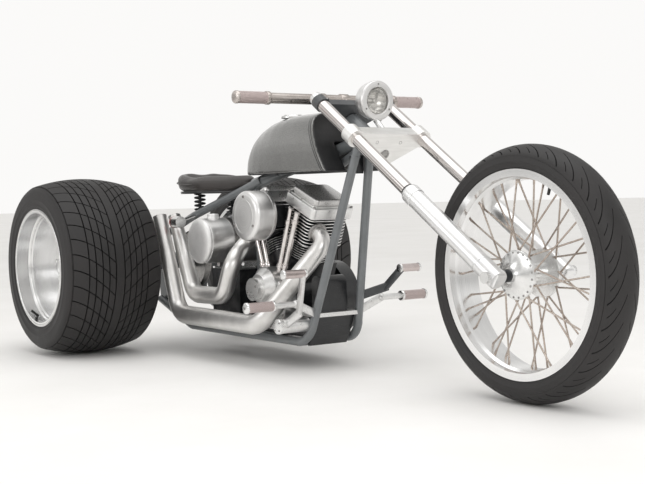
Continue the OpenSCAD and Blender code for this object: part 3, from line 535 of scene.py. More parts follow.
softboxes = (
    ("overhead", (0.2, -0.3, 3.0), (0, 0, 0.3), (3.8, 2.6), 30),
    ("front", (3.4, -1.4, 1.7), (0.2, 0, 0.4), (1.6, 1.2), 16),
    ("side", (-0.6, -3.4, 1.6), (-0.2, 0, 0.4), (2.2, 1.2), 14),
)
for name, place, aim, size, power in softboxes:
    lamp = bpy.data.lights.new(name, "AREA")
    lamp.shape = "RECTANGLE"
    lamp.size, lamp.size_y = size
    lamp.energy = power
    holder = bpy.data.objects.new(name, lamp)
    holder.matrix_world = facing(place, Vector(place) - Vector(aim))
    scene.collection.objects.link(holder)

floorBm = newMesh()
bmesh.ops.create_grid(floorBm, x_segments=1, y_segments=1, size=45)
floorMesh = bpy.data.meshes.new("floor")
floorBm.to_mesh(floorMesh)
floorBm.free()
floorPiece = bpy.data.objects.new("floor", floorMesh)
floorPiece.data.materials.append(paintMaterial("floorWhite",
                                               dict(dark=(0.835, 0.825, 0.805), light=(0.885, 0.875, 0.86),
                                                                  rough=(0.55, 0.7), patches=1.2, grain=60,
                                                                  depth=0.0003)))
scene.collection.objects.link(floorPiece)
print("camera, light and floor set")

rearTyreLook = dict(radius=0.323, crown=0.025, edge=0.1655, pitches=34, columns=4, groove=0.075, deep=0.0055,
                    rings=(0.017, 0.041, 0.065, 0.089, 0.113), ringWidth=0.0042, sweepBack=0.36)
frontTyreLook = dict(radius=0.347, half=0.060, drop=0.042, pitches=30, columns=5, groove=0.075, sipe=0.05,
                     deep=0.0035, sweepBack=0.42)

def treadShell(outline, steps):  # outline is (radius, y) pairs spun about y
    part = lathe(outline, steps=steps)
    bmesh.ops.transform(part, matrix=Matrix.Rotation(-math.pi / 2, 4, "X"), verts=part.verts)
    return part

def roundPlace(point):
    return math.atan2(point.z, point.x) % (2 * math.pi), math.hypot(point.x, point.z)

def turnVert(vert, angle, radius):
    vert.co.x, vert.co.z = radius * math.cos(angle), radius * math.sin(angle)

def cutTread(part, steps, columns, isBlock, columnWidths, shift, deep, isTread):
    pitch = 2 * math.pi * columns / steps
    blocks = []
    for face in part.faces:
        centre = face.calc_center_median()
        angle, radius = roundPlace(centre)
        column = int(angle / (2 * math.pi / steps)) % columns
        if isTread(centre.y, radius):
            if isBlock(column, centre.y):
                blocks.append(face)
            else:
                face.material_index = 1
    bounds = [sum(columnWidths[:k]) for k in range(columns + 1)]
    for vert in part.verts:
        angle, radius = roundPlace(vert.co)
        step = round(angle / (2 * math.pi / steps))
        turned = (step // columns + bounds[step % columns]) * pitch + shift(vert.co.y)
        turnVert(vert, turned, radius)
    made = bmesh.ops.extrude_face_region(part, geom=blocks)
    for vert in (item for item in made["geom"] if isinstance(item, bmesh.types.BMVert)):
        angle, radius = roundPlace(vert.co)
        turnVert(vert, angle, radius + deep)
    bmesh.ops.recalc_face_normals(part, faces=part.faces)

def rearTyreBm(look):
    edge, radius, deep = look["edge"], look["radius"], look["deep"]
    stops = [0.0]
    for ring in look["rings"]:
        stops += [ring - look["ringWidth"] / 2, ring + look["ringWidth"] / 2]
    stops += [0.128, 0.143, 0.156, edge]
    half = [(radius - look["crown"] * (y / edge) ** 2 - deep, y) for y in stops]
    wall = [(0.2935, 0.1712), (0.2905, 0.1745), (0.284, 0.1792), (0.272, 0.1822), (0.255, 0.1825),
            (0.2515, 0.1836),
            (0.2485, 0.1836), (0.2455, 0.1822), (0.236, 0.1812), (0.2285, 0.1802), (0.2262, 0.1812),
            (0.2238, 0.1796),
            (0.2168, 0.1776), (0.2152, 0.172), (0.205, 0.168)]
    right = half + wall
    outline = [(r, -y) for r, y in reversed(right)] + right[1:]
    steps = look["pitches"] * look["columns"]
    part = treadShell(outline, steps)
    rings = look["rings"]

    def isRing(y):
        return any(abs(abs(y) - ring) < look["ringWidth"] / 2 for ring in rings)

    def isBlock(column, y):
        if isRing(y):
            return False
        return abs(y) < rings[0] or column != 0

    plain = (1 - look["groove"]) / (look["columns"] - 1)
    cutTread(part, steps, look["columns"], isBlock, [look["groove"]] + [plain] * (look["columns"] - 1),
             lambda y: -look["sweepBack"] * max(0, 1 - abs(y) / edge) ** 1.5, deep,
             lambda y, r: abs(y) < edge and r > 0.28)
    return part

def frontTyreBm(look):
    half, radius, deep = look["half"], look["radius"], look["deep"]
    angles = [math.radians(a) for a in (0, 5, 12, 19, 26, 33, 40, 47, 54, 61, 67, 73)]
    side = [(radius - look["drop"] * (1 - math.cos(a)) - deep, half * math.sin(a)) for a in angles]
    side += [(0.3135, 0.0588), (0.311, 0.0596), (0.303, 0.0598), (0.3015, 0.0606), (0.2995, 0.0606),
             (0.298, 0.0596),
             (0.291, 0.058), (0.2875, 0.0562), (0.2855, 0.0563), (0.2838, 0.055), (0.2825, 0.0515),
             (0.266, 0.050)]
    outline = [(r, -y) for r, y in reversed(side)] + side[1:]
    steps = look["pitches"] * look["columns"]
    part = treadShell(outline, steps)

    def isBlock(column, y):
        tilt = math.degrees(math.asin(min(1, abs(y) / half)))
        if column == 0:
            return tilt < 12 or tilt > 67
        if column == 2:
            return not 40 < tilt < 61
        return True

    widths = [look["groove"], 0.40, look["sipe"]]
    plain = (1 - sum(widths)) / 2
    cutTread(part, steps, look["columns"], isBlock, widths + [plain, plain],
             lambda y: look["sweepBack"] * max(0, 1 - abs(y) / half) ** 1.3, deep,
             lambda y, r: r > radius - look["drop"] * (1 - math.cos(math.radians(73))) - deep - 1e-4)
    return part

for side, name in ((-1, "right"), (1, "left")):
    part = rearTyreBm(rearTyreLook)
    bmesh.ops.transform(part, matrix=Matrix.Translation((rearAxle.x, side * abs(rearAxle.y), rearAxle.z)),
                        verts=part.verts)
    finishPiece("treadedRearTyre_" + name, part, "rear_wheel_" + name, [tyreRubber, grooveRubber],
                ("rear_tyre_" + name,), sharp=32)
part = frontTyreBm(frontTyreLook)
bmesh.ops.transform(part, matrix=Matrix.Translation(frontAxle), verts=part.verts)
finishPiece("treadedFrontTyre", part, "front_wheel", [tyreRubber, grooveRubber], ("front_tyre",),
            sharp=32)
print("tyres made")

rearWheelLook = dict(lip=0.178, discDepth=0.112, lugs=5, lugCircle=0.0575)

for side, name in ((-1, "right"), (1, "left")):
    give("rear_rim_" + name, spunRear)
    outward = (0, side, 0)
    centre = Vector((rearAxle.x, side * abs(rearAxle.y), rearAxle.z))
    faceY = rearWheelLook["lip"] - rearWheelLook["discDepth"]
    part = newMesh()
    addPart(part, lathe(((0.2055, 0.1768), (0.2065, 0.1792), (0.2095, 0.1802), (0.2125, 0.1792),
                         (0.2135, 0.1768)),
                        steps=120), facing(centre, outward))
    addPart(part, lathe(((0.1968, 0.128), (0.1935, 0.1285), (0.1925, 0.1265), (0.1938, 0.1235),
                         (0.1962, 0.1228)),
                        steps=120), facing(centre, outward))
    cap = lathe(((0, 0.030), (0.012, 0.0295), (0.026, 0.027), (0.035, 0.021), (0.0385, 0.012), (0.041, 0.009),
                 (0.041, 0.0), (0.03, -0.002)), steps=48)
    addPart(part, cap, facing(centre + Vector(outward) * faceY, outward))
    for lug in range(rearWheelLook["lugs"]):
        turn = 2 * math.pi * (lug + 0.25) / rearWheelLook["lugs"]
        offset = Vector((math.cos(turn), 0, math.sin(turn))) * rearWheelLook["lugCircle"]
        start = centre + offset + Vector(outward) * (faceY - 0.001)
        nut = bar(start, start + Vector(outward) * 0.018, 0.0105, 0.0095, sides=6, round=0.0012)
        addPart(part, nut)
    finishPiece("rearWheelCap_" + name, part, "rear_wheel_" + name, [metals["polishedAlloy"]])
    stem = newMesh()
    place = centre + Vector((-0.075, side * 0.151, -0.182))
    addPart(stem, bar(place, place + Vector((0.006, side * 0.016, 0.012)), 0.0052, 0.0042, sides=16,
                      round=0.001))
    addPart(stem, bar(place + Vector((0.006, side * 0.016, 0.012)),
                      place + Vector((0.0105, side * 0.028, 0.021)), 0.0046,
                      sides=16, round=0.0008))
    finishPiece("rearValve_" + name, stem, "rear_wheel_" + name, [beltRubber])

give("front_rim", spunFront)
give("front_hub", metals["polishedAlloy"])
give("front_spokes", metals["spokeSteel"])
give("front_axle", metals["polishedAlloy"])

spokeLook = dict(count=20, foot=0.056, reach=0.270, lean=62 * 0.55)
part = newMesh()
for side in (-1, 1):  # nipples at the rim and heads at the hub's flange
    for index in range(spokeLook["count"]):
        angle = math.radians((index + side / 4) * 360 / spokeLook["count"])
        lean = math.radians((1 if index % 2 == 0 else -1) * spokeLook["lean"])
        flange = -side * (0.045 + (0.004 if index % 2 == 0 else -0.004))
        foot = Vector((math.cos(angle), 0, math.sin(angle))) * spokeLook["foot"] + Vector((0, flange, 0))
        tip = Vector((math.cos(angle + lean), 0, math.sin(angle + lean))) * spokeLook["reach"]
        tip.y = -side * 0.010
        run = (tip - foot).normalized()
        near = foot + run * ((tip - foot).length * 0.90)
        addPart(part, bar(frontAxle + near - run * 0.010, frontAxle + near + run * 0.007, 0.0028, 0.0036,
                          sides=8))
        addPart(part, bolt(frontAxle + Vector((foot.x, -side * 0.0482, foot.z)), (0, -side, 0), 0.0034,
                           0.0022))
finishPiece("spokeNipples", part, "front_wheel", [metals["spokeSteel"]])

part = newMesh()
for side in (-1, 1):
    addPart(part, lathe(((0.0662, 0.0470), (0.0664, 0.0488), (0.0652, 0.0500), (0.058, 0.0515),
                         (0.047, 0.0555),
                         (0.036, 0.0610), (0.028, 0.0670), (0.0225, 0.0730), (0.0205, 0.0762), (0, 0.0762)),
                         steps=80),
            facing(frontAxle, (0, side, 0)))
    for hole in range(20):
        turn = 2 * math.pi * (hole + 0.5) / 20
        place = frontAxle + Vector((0.0600 * math.cos(turn), side * 0.0506, 0.0600 * math.sin(turn)))
        addPart(part, bolt(place, (0, side, 0), 0.003, 0.0016), material=1)
valve = frontAxle + Vector((0.258 * math.cos(1.2), -0.012, 0.258 * math.sin(1.2)))
inward = (frontAxle - valve).normalized()
addPart(part, bar(valve, valve + inward * 0.032, 0.0048, 0.0038, sides=16), material=2)
finishPiece("hubTrim", part, "front_wheel", [metals["polishedAlloy"], metals["boltSteel"], beltRubber])
print("wheels made")

for node, material in (("fork_tubes", metals["forkChrome"]), ("fork_legs", metals["forkSatin"]),
                       ("upper_clamp", paints["clampPaint"]), ("lower_clamp", metals["machinedPlate"]),
                       ("handlebar", metals["brushedSteel"]), ("grips", knurledGrip)):
    give(node, material)

forkLook = dict(spread=0.1287, clampTop=0.932, lowClampTop=0.741, lowClampFoot=0.701, stem=-0.055)

def alongFork(x, y, z):
    return forkFrame @ Vector((x, y, z))

upFork = (forkFrame.to_3x3() @ Vector((0, 0, 1))).normalized()
acrossFork = (forkFrame.to_3x3() @ Vector((1, 0, 0))).normalized()

part = newMesh()
for side in (-1, 1):
    y = side * forkLook["spread"]
    foot = forkFrame @ Matrix.Translation((0, y, 0))
    addPart(part, lathe(((0.0202, 0.9335), (0.0212, 0.9345), (0.0212, 0.945), (0.0204, 0.9495),
                         (0.018, 0.9525),
                         (0.012, 0.9535), (0, 0.954)), steps=40), foot)
    addPart(part, lathe(((0.0272, 0.372), (0.0288, 0.3735), (0.0288, 0.398), (0.0282, 0.4035),
                         (0.0262, 0.408),
                         (0.0225, 0.4105), (0.0201, 0.411)), steps=40), foot)
    addPart(part, lathe(((0.0272, 0.052), (0.0279, 0.0535), (0.0279, 0.058), (0.0272, 0.0595)), steps=40),
            foot)
    addPart(part, bar(frontAxle + Vector((0, y + side * 0.026, 0)),
                      frontAxle + Vector((0, y + side * 0.0345, 0)), 0.0165,
                      sides=6, round=0.0015))
    addPart(part, block((0.040, 0.030, 0.034), 0.0035), forkFrame @ Matrix.Translation((0.0, y, -0.006)))
finishPiece("forkTrim", part, "steering", [metals["forkSatin"]])

part = newMesh()
for side in (-1, 1):
    y = side * forkLook["spread"]
    foot = forkFrame @ Matrix.Translation((0, y, 0))
    addPart(part, lathe(((0.0201, 0.4105), (0.0222, 0.4112), (0.0222, 0.4155), (0.0212, 0.4172),
                         (0.0201, 0.4175)),
                        steps=40), foot)
    addPart(part, bar(frontAxle + Vector((0, side * 0.0775, 0)), frontAxle + Vector((0, side * 0.1010, 0)),
                      0.0175,
                      round=0.0015))
    for z in (-0.010, 0.014):
        place = alongFork(-0.021, y, z)
        addPart(part, bolt(place, -acrossFork, 0.0042, 0.003))
finishPiece("forkSeals", part, "steering", [paints["darkSteel"]])

part = newMesh()
for side in (-1, 1):
    y = side * forkLook["spread"]
    for turn in (-0.5, 0.5):
        place = alongFork(0.0, y - side * 0.034, forkLook["clampTop"]) + acrossFork * 0.012 * turn
        addPart(part, bolt(place, upFork, 0.0042, 0.0035))
        low = alongFork(0.0, y - side * 0.034, forkLook["lowClampTop"]) + acrossFork * 0.020 * turn
        addPart(part, bolt(low, upFork, 0.0042, 0.0035))
addPart(part, bar(alongFork(forkLook["stem"], 0, forkLook["clampTop"]),
                  alongFork(forkLook["stem"], 0, 0.9425), 0.0175,
                  sides=6, round=0.0015))
addPart(part, bar(alongFork(forkLook["stem"], 0, 0.9425), alongFork(forkLook["stem"], 0, 0.9465), 0.010,
                  round=0.001))
for side in (-1, 1):  # the risers' feet and clamps
    riser = alongFork(-0.047, side * 0.046, forkLook["clampTop"])
    addPart(part, bar(riser, riser + upFork * 0.006, 0.0175, sides=32, round=0.0015))
for y in (-0.045, 0.045):  # the small holes in the lower clamp's underside
    hole = alongFork(-0.012, y, forkLook["lowClampFoot"])
    addPart(part, lathe(((0.0036, -0.001), (0.0044, 0.0002), (0.0050, 0.0008), (0.0056, 0.0002),
                         (0.0058, -0.001)),
                        steps=24), facing(hole, -upFork))
stemEnd = alongFork(forkLook["stem"], 0, forkLook["lowClampFoot"])
addPart(part, lathe(((0.0165, -0.001), (0.0165, 0.002), (0.0155, 0.003), (0.0115, 0.003), (0.0105, 0.001),
                     (0, 0.001)),
                    steps=40), facing(stemEnd, -upFork))
finishPiece("clampBolts", part, "steering", [metals["boltSteel"]])

barLook = dict(x=-0.047, z=1.028, inner=0.252, outer=0.364, clamp=0.046)
part = newMesh()
for side in (-1, 1):
    outward = (0, side, 0)
    end = alongFork(barLook["x"], side * barLook["outer"], barLook["z"])
    addPart(part, lathe(((0.019, -0.006), (0.0202, -0.005), (0.0202, 0.001), (0.0188, 0.0042),
                         (0.014, 0.0062),
                         (0.006, 0.007), (0, 0.007)), steps=40), facing(end, outward))
    start = alongFork(barLook["x"], side * barLook["inner"], barLook["z"])
    addPart(part, lathe(((0.017, -0.010), (0.0205, -0.009), (0.0212, -0.007), (0.0212, 0.003),
                         (0.0205, 0.0045),
                         (0.019, 0.005)), steps=40), facing(start, outward))
    mid = alongFork(barLook["x"], side * barLook["clamp"], barLook["z"])
    addPart(part, lathe(((0.017, -0.017), (0.0195, -0.016), (0.0205, -0.014), (0.0205, 0.014),
                         (0.0195, 0.016),
                         (0.017, 0.017)), steps=40), facing(mid, outward))
finishPiece("barCollars", part, "steering", [metals["brushedSteel"]])
print("fork and bar made")

lampLook = dict(place=(1261, 0, 855), tilt=math.radians(3.6), screws=3)
lampFrame = facing(at(*lampLook["place"]), (math.cos(lampLook["tilt"]), 0, -math.sin(lampLook["tilt"])))
part = newMesh()
shell = lathe(((0, -0.060), (0.018, -0.0597), (0.034, -0.0575), (0.046, -0.0525), (0.0535, -0.045),
               (0.0572, -0.035),
               (0.058, -0.026), (0.058, -0.0175), (0.0572, -0.017), (0.0572, -0.0155), (0.0608, -0.0145),
               (0.0618, -0.012), (0.0618, -0.004), (0.0608, -0.0012), (0.0590, 0.0), (0.0435, 0.0),
               (0.0420, -0.0012), (0.0415, -0.004), (0.0415, -0.012)), steps=96)
addPart(part, shell, lampFrame)
reflector = lathe(((0.0415, -0.012), (0.040, -0.0145), (0.036, -0.021), (0.029, -0.028), (0.019, -0.033),
                   (0.010, -0.0355), (0.008, -0.0355)), steps=96)
addPart(part, reflector, lampFrame, material=1)
addPart(part, lathe(((0.008, -0.0355), (0.0075, -0.020), (0.0068, -0.017), (0.004, -0.0145), (0, -0.0138)),
                    steps=32),
        lampFrame, material=1)
for index in range(lampLook["screws"]):
    turn = 2 * math.pi * index / lampLook["screws"] + math.pi / 2
    place = lampFrame @ Vector((0.0512 * math.cos(turn), 0.0512 * math.sin(turn), -0.0004))
    addPart(part, bolt(place, lampFrame.to_3x3() @ Vector((0, 0, 1)), 0.0030, 0.0014), material=2)
bracketTop = at(1243, 0, 802)
addPart(part, bar(bracketTop, alongFork(0.004, 0, 0.7425), 0.0095, round=0.001), material=1)
addPart(part, block((0.030, 0.034, 0.010), 0.002), facing(bracketTop, (0.4, 0, 1)), material=1)
finishPiece("lampShell", part, "steering", [spunLamp, metals["polishedAlloy"], metals["boltSteel"]],
            ("headlight",))
part = newMesh()
addPart(part, lathe(((0, 0.0022), (0.012, 0.0019), (0.024, 0.0008), (0.034, -0.0012), (0.0398, -0.0038),
                     (0.0413, -0.0060), (0.0413, -0.0090), (0.0390, -0.0064), (0.033, -0.0040),
                     (0.024, -0.0022),
                     (0.012, -0.0012), (0, -0.0009)), steps=96), lampFrame)
finishPiece("lampGlass", part, "steering", [lampGlass], ("headlight_lens",))
print("headlight made")

def smoothCopy(node, voxel, rounds, strength=0.5):
    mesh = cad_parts[node].data.copy()
    part = newMesh()
    part.from_mesh(mesh)
    bmesh.ops.remove_doubles(part, verts=part.verts, dist=1e-5)
    bmesh.ops.recalc_face_normals(part, faces=part.faces)
    part.to_mesh(mesh)
    part.free()
    holder = bpy.data.objects.new(node + "Copy", mesh)
    scene.collection.objects.link(holder)
    grid = holder.modifiers.new("grid", "REMESH")
    grid.mode = "VOXEL"
    grid.voxel_size = voxel
    if rounds:
        ease = holder.modifiers.new("ease", "SMOOTH")
        ease.factor = strength
        ease.iterations = rounds
    graph = bpy.context.evaluated_depsgraph_get()
    made = bpy.data.meshes.new_from_object(holder.evaluated_get(graph))
    part = newMesh()
    part.from_mesh(made)
    bpy.data.objects.remove(holder)
    bpy.data.meshes.remove(made)
    return part

tankLook = dict(lean=140 / 195, seam=0.012, seamWidth=0.003, secondSeam=0.021, voxel=0.004)
tankLow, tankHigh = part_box("fuel_tank")
tankFront = tankHigh.x + tankLook["lean"] * tankLow.z  # the leaning front face is x + lean z = this

def tankMaterial():
    look = finishes["tankPaint"]
    material, tree, shader, coords = startMaterial("tankPaintSeamShade", look)
    parts = tree.nodes.new("ShaderNodeSeparateXYZ")
    tree.links.new(coords, parts.inputs[0])
    lean = mathNode(tree, "MULTIPLY", parts.outputs[2], tankLook["lean"])
    depth = mathNode(tree, "SUBTRACT", tankFront, mathNode(tree, "ADD", parts.outputs[0], lean))
    # the seam lines are real grooves (bump), and their gaps are coloured near black as painted shadow
    seamGrooveAndShade = None
    for place in (tankLook["seam"], tankLook["secondSeam"]):
        away = mathNode(tree, "ABSOLUTE", mathNode(tree, "SUBTRACT", depth, place))
        line = spread(tree, away, 1, 0, tankLook["seamWidth"] * 0.6, tankLook["seamWidth"])
        seamGrooveAndShade = line if seamGrooveAndShade is None else mathNode(tree, "MAXIMUM", seamGrooveAndShade, line)
    patches = noise(tree, coords, look["patches"], 6, 0.6)
    paint = ramp(tree, patches, ((0.35, look["dark"]), (0.68, look["light"])))
    mix = tree.nodes.new("ShaderNodeMix")
    mix.data_type = "RGBA"
    tree.links.new(seamGrooveAndShade, mix.inputs[0])
    tree.links.new(paint, mix.inputs[6])
    # painted shadow: near-black colour in the seam gaps
    mix.inputs[7].default_value = (0.006, 0.006, 0.006, 1)
    tree.links.new(mix.outputs[2], shader.inputs["Base Color"])
    fine = noise(tree, coords, look["grain"], 3)
    tree.links.new(spread(tree, fine, *look["rough"]), shader.inputs["Roughness"])
    groove = bump(tree, shader, mathNode(tree, "SUBTRACT", 1, seamGrooveAndShade), 0.0012, 0.8)
    bump(tree, shader, fine, look["depth"], 0.2, before=groove)
    return material

tankPaint = tankMaterial()
part = smoothCopy("fuel_tank", tankLook["voxel"], 10)
part.normal_update()
# painted shade: the tank's front face and underside take the near-black material in place of the shade in the
# recess and under the tank
for face in part.faces:
    if face.normal.x > 0.5 or face.normal.z < -0.7:
        face.material_index = 1
finishPiece("smoothTank", part, "chassis", [tankPaint, paints["paintedShadeBlack"]], ("fuel_tank",),
            sharp=60)

part = newMesh()
capPlace = Vector(((tankLow.x + tankHigh.x) / 2 - 0.055, 0, tankHigh.z - 0.003))
addPart(part, lathe(((0.040, -0.004), (0.040, 0.001), (0.038, 0.003), (0.034, 0.0035), (0.033, 0.006),
                     (0.030, 0.0078),
                     (0.020, 0.0085), (0, 0.009)), steps=64), facing(capPlace, (0, 0, 1)))
for index in range(6):
    turn = 2 * math.pi * index / 6
    addPart(part, bolt(capPlace + Vector((0.0365 * math.cos(turn), 0.0365 * math.sin(turn), 0.003)),
                       (0, 0, 1), 0.002,
                       0.0014), material=1)
finishPiece("fillerCap", part, "chassis", [metals["polishedAlloy"], metals["boltSteel"]])
print("tank made")

seatLook = dict(front=(534, 653.5), length=0.405, half=0.140, thick=0.064, round=0.104,
                nose=0.028, voxel=0.005, puff=0.006, rim=0.007, dish=0.018, drop=0.018, kick=0.024,
                piping=0.0026, pipingInset=0.0065)
seatFrame = (Matrix.Translation(at(seatLook["front"][0], 0, seatLook["front"][1]))
             @ Matrix.Translation((-seatLook["length"], 0, 0)))
seatBack = seatFrame.inverted()

def seatHalfWidth(x):  # half the pad's width at a distance from its rear end
    look = seatLook
    corner, flatEnd = look["round"], look["half"] * 1.3
    if x < corner:
        return look["half"] - corner + math.sqrt(max(0, corner ** 2 - (corner - x) ** 2))
    if x < flatEnd:
        return look["half"]
    noseStart = look["length"] - look["nose"]
    if x < noseStart:
        share = (x - flatEnd) / (noseStart - flatEnd)
        return look["half"] + (look["nose"] - look["half"]) * share
    return math.sqrt(max(0, look["nose"] ** 2 - (x - noseStart) ** 2))

def seatOutline(inset, steps=40):
    right = []
    for index in range(steps + 1):
        turn = math.pi * index / steps
        x = seatLook["length"] / 2 * (1 - math.cos(turn))
        x = min(max(x, inset), seatLook["length"] - inset)
        right.append((x, max(0, seatHalfWidth(x) - inset)))
    return right + [(x, -y) for x, y in reversed(right[1:-1])]

def swell(holder, pressure, cap):
    start = [vert.co.copy() for vert in holder.data.vertices]
    cloth = holder.modifiers.new("cloth", "CLOTH")
    cloth.settings.use_pressure = True
    cloth.settings.uniform_pressure_force = pressure
    cloth.settings.effector_weights.gravity = 0
    cloth.point_cache.frame_start, cloth.point_cache.frame_end = 1, 20
    for number in range(1, 21):
        scene.frame_set(number)
    graph = bpy.context.evaluated_depsgraph_get()
    made = bpy.data.meshes.new_from_object(holder.evaluated_get(graph))
    holder.modifiers.clear()
    for vert, before, after in zip(holder.data.vertices, start, made.vertices):
        step = after.co - before
        vert.co = before + step * min(1, cap / max(step.length, 1e-9))
    bpy.data.meshes.remove(made)
    scene.frame_set(1)

def seatRise(x):  # the rear end kicks up and the rest lies lower
    behind = max(0, 0.36 - max(0, x) / seatLook["length"]) / 0.36
    return seatLook["kick"] * behind ** 1.3 - seatLook["drop"]

def evenOut(mesh, rounds):
    part = newMesh()
    part.from_mesh(mesh)
    for turn in range(rounds):
        bmesh.ops.smooth_vert(part, verts=part.verts, factor=0.5, use_axis_x=True, use_axis_y=True,
                              use_axis_z=True)
    part.to_mesh(mesh)
    part.free()

part = smoothCopy("seat_pad", seatLook["voxel"], 36)
pinch = 0.985
middleSeat = middle("seat_pad")
bmesh.ops.translate(part, vec=-middleSeat, verts=part.verts)
bmesh.ops.scale(part, vec=(pinch, pinch, 0.92), verts=part.verts)
bmesh.ops.translate(part, vec=middleSeat, verts=part.verts)
seat = finishPiece("leatherSeat", part, "chassis", [seatLeather], ("seat_pad",), sharp=180)
swell(seat, 4, seatLook["puff"])
evenOut(seat.data, 10)
for vert in seat.data.vertices:  # the raised rim, the dished middle and the lower nose
    local = seatBack @ vert.co
    length = seatLook["length"]
    if local.z > -0.026:
        inside = min(seatHalfWidth(min(max(local.x, 0), length)) - abs(local.y), local.x + 0.002,
                     length - local.x)
        rise = seatLook["rim"] * math.exp(-((inside - 0.028) / 0.021) ** 2)
        deep = min(1, max(0, (inside - 0.032) / 0.05))
        local.z += rise - seatLook["dish"] * deep * deep * (3 - 2 * deep)
    share = min(1, max(0, (local.z + seatLook["thick"]) / seatLook["thick"]))
    local.z += seatRise(local.x) * share
    local.y *= 1 - 0.07 * (1 - share) ** 2
    vert.co = seatFrame @ local
evenOut(seat.data, 8)
finer = seat.modifiers.new("finer", "SUBSURF")
finer.levels = finer.render_levels = 1

def closedSweep(points, radius, sides=12):  # a round cord along a closed line
    curve = bpy.data.curves.new("loop", "CURVE")
    curve.dimensions = "3D"
    curve.bevel_depth = radius
    curve.bevel_resolution = sides // 4 - 1
    spline = curve.splines.new("POLY")
    spline.use_cyclic_u = True
    spline.points.add(len(points) - 1)
    for point, place in zip(spline.points, points):
        point.co = (*place, 1)
    holder = bpy.data.objects.new("loop", curve)
    mesh = bpy.data.meshes.new_from_object(holder)
    part = newMesh()
    part.from_mesh(mesh)
    bpy.data.objects.remove(holder)
    bpy.data.curves.remove(curve)
    bpy.data.meshes.remove(mesh)
    bmesh.ops.recalc_face_normals(part, faces=part.faces)
    return part

part = newMesh()
ring = [seatFrame @ Vector((x, y, -0.028 + seatRise(x) * 0.56)) for x,
        y in seatOutline(seatLook["pipingInset"])]
addPart(part, closedSweep(ring, seatLook["piping"]))
finishPiece("seatPiping", part, "chassis", [seatLeather])

part = newMesh()
edge = [part.verts.new((x, y, -0.062)) for x, y in seatOutline(0.020)]
plate = bmesh.ops.contextual_create(part, geom=edge)["faces"]
made = bmesh.ops.extrude_face_region(part, geom=plate)
low = [item for item in made["geom"] if isinstance(item, bmesh.types.BMVert)]
bmesh.ops.translate(part, vec=(0, 0, -0.010), verts=low)
bmesh.ops.recalc_face_normals(part, faces=part.faces)
rim = [item for item in part.edges if abs(item.verts[0].co.z - item.verts[1].co.z) < 1e-6]
bmesh.ops.bevel(part, geom=rim, offset=0.003, segments=2, profile=0.5, affect="EDGES", material=-1)
bmesh.ops.transform(part, matrix=seatFrame, verts=part.verts)
finishPiece("seatPan", part, "chassis", [paints["blackEnamel"]])

springLook = dict(x=262, y=70, foot=0.514, top=0.586, coil=0.0185, wire=0.0034, turns=5)
part = newMesh()
for side in (-1, 1):
    axis = at(springLook["x"], side * springLook["y"], 0)
    height = springLook["top"] - springLook["foot"]
    count = springLook["turns"] * 24
    coil = [axis + Vector((springLook["coil"] * math.cos(2 * math.pi * k / 24),
                           springLook["coil"] * math.sin(2 * math.pi * k / 24),
                           springLook["foot"] + height * k / count)) for k in range(count + 1)]
    addPart(part, sweep(coil, lambda t: springLook["wire"], sides=12))
    for z in (springLook["foot"] - 0.002, springLook["top"] + 0.001):
        addPart(part, bar(axis + Vector((0, 0, z - 0.002)), axis + Vector((0, 0, z + 0.002)), 0.0225,
                          round=0.001))
    addPart(part, bar(axis + Vector((0, 0, springLook["foot"])), axis + Vector((0, 0, springLook["top"])),
                      0.006))
finishPiece("coilSprings", part, "chassis", [paints["darkSteel"]], ("seat_springs",))
print("seat made")

part = newMesh()
tankMiddle = middle("oil_tank")
half = 0.196
body = lathe(((0.0782, -0.1725), (0.080, -0.171), (0.080, 0.171), (0.0782, 0.1725)), steps=96)
addPart(part, body, facing(tankMiddle, (0, 1, 0)))
for side in (-1, 1):
    cap = lathe(((0.0782, 0.1725), (0.0782, 0.174), (0.0798, 0.1752), (0.080, 0.180), (0.0785, 0.1845),
                 (0.0745, 0.188),
                 (0.066, 0.1912), (0.050, 0.194), (0.030, 0.1955), (0.012, 0.196), (0, 0.196)), steps=96)
    addPart(part, cap, facing(tankMiddle, (0, side, 0)), material=1)
    fitting = tankMiddle + Vector((-0.02, side * 0.09, -0.078))
    addPart(part, bar(fitting, fitting + Vector((0, 0, -0.016)), 0.010, sides=6, round=0.001), material=2)
filler = tankMiddle + Vector((0.0, -0.125, 0.079))
addPart(part, lathe(((0.022, -0.004), (0.022, 0.004), (0.0205, 0.006), (0.0205, 0.014), (0.018, 0.0165),
                     (0, 0.018)),
                    steps=48), facing(filler, (0, 0, 1)), material=1)
for side in (-1, 1):  # the straps that hold it
    strap = lathe(((0.0802, -0.009), (0.0818, -0.0085), (0.0818, 0.0085), (0.0802, 0.009)), steps=96)
    addPart(part, strap, facing(tankMiddle + Vector((0, side * 0.075, 0)), (0, 1, 0)), material=2)
finishPiece("roundOilTank", part, "chassis", [spunTank, paints["satinCap"], metals["boltSteel"]],
            ("oil_tank",))

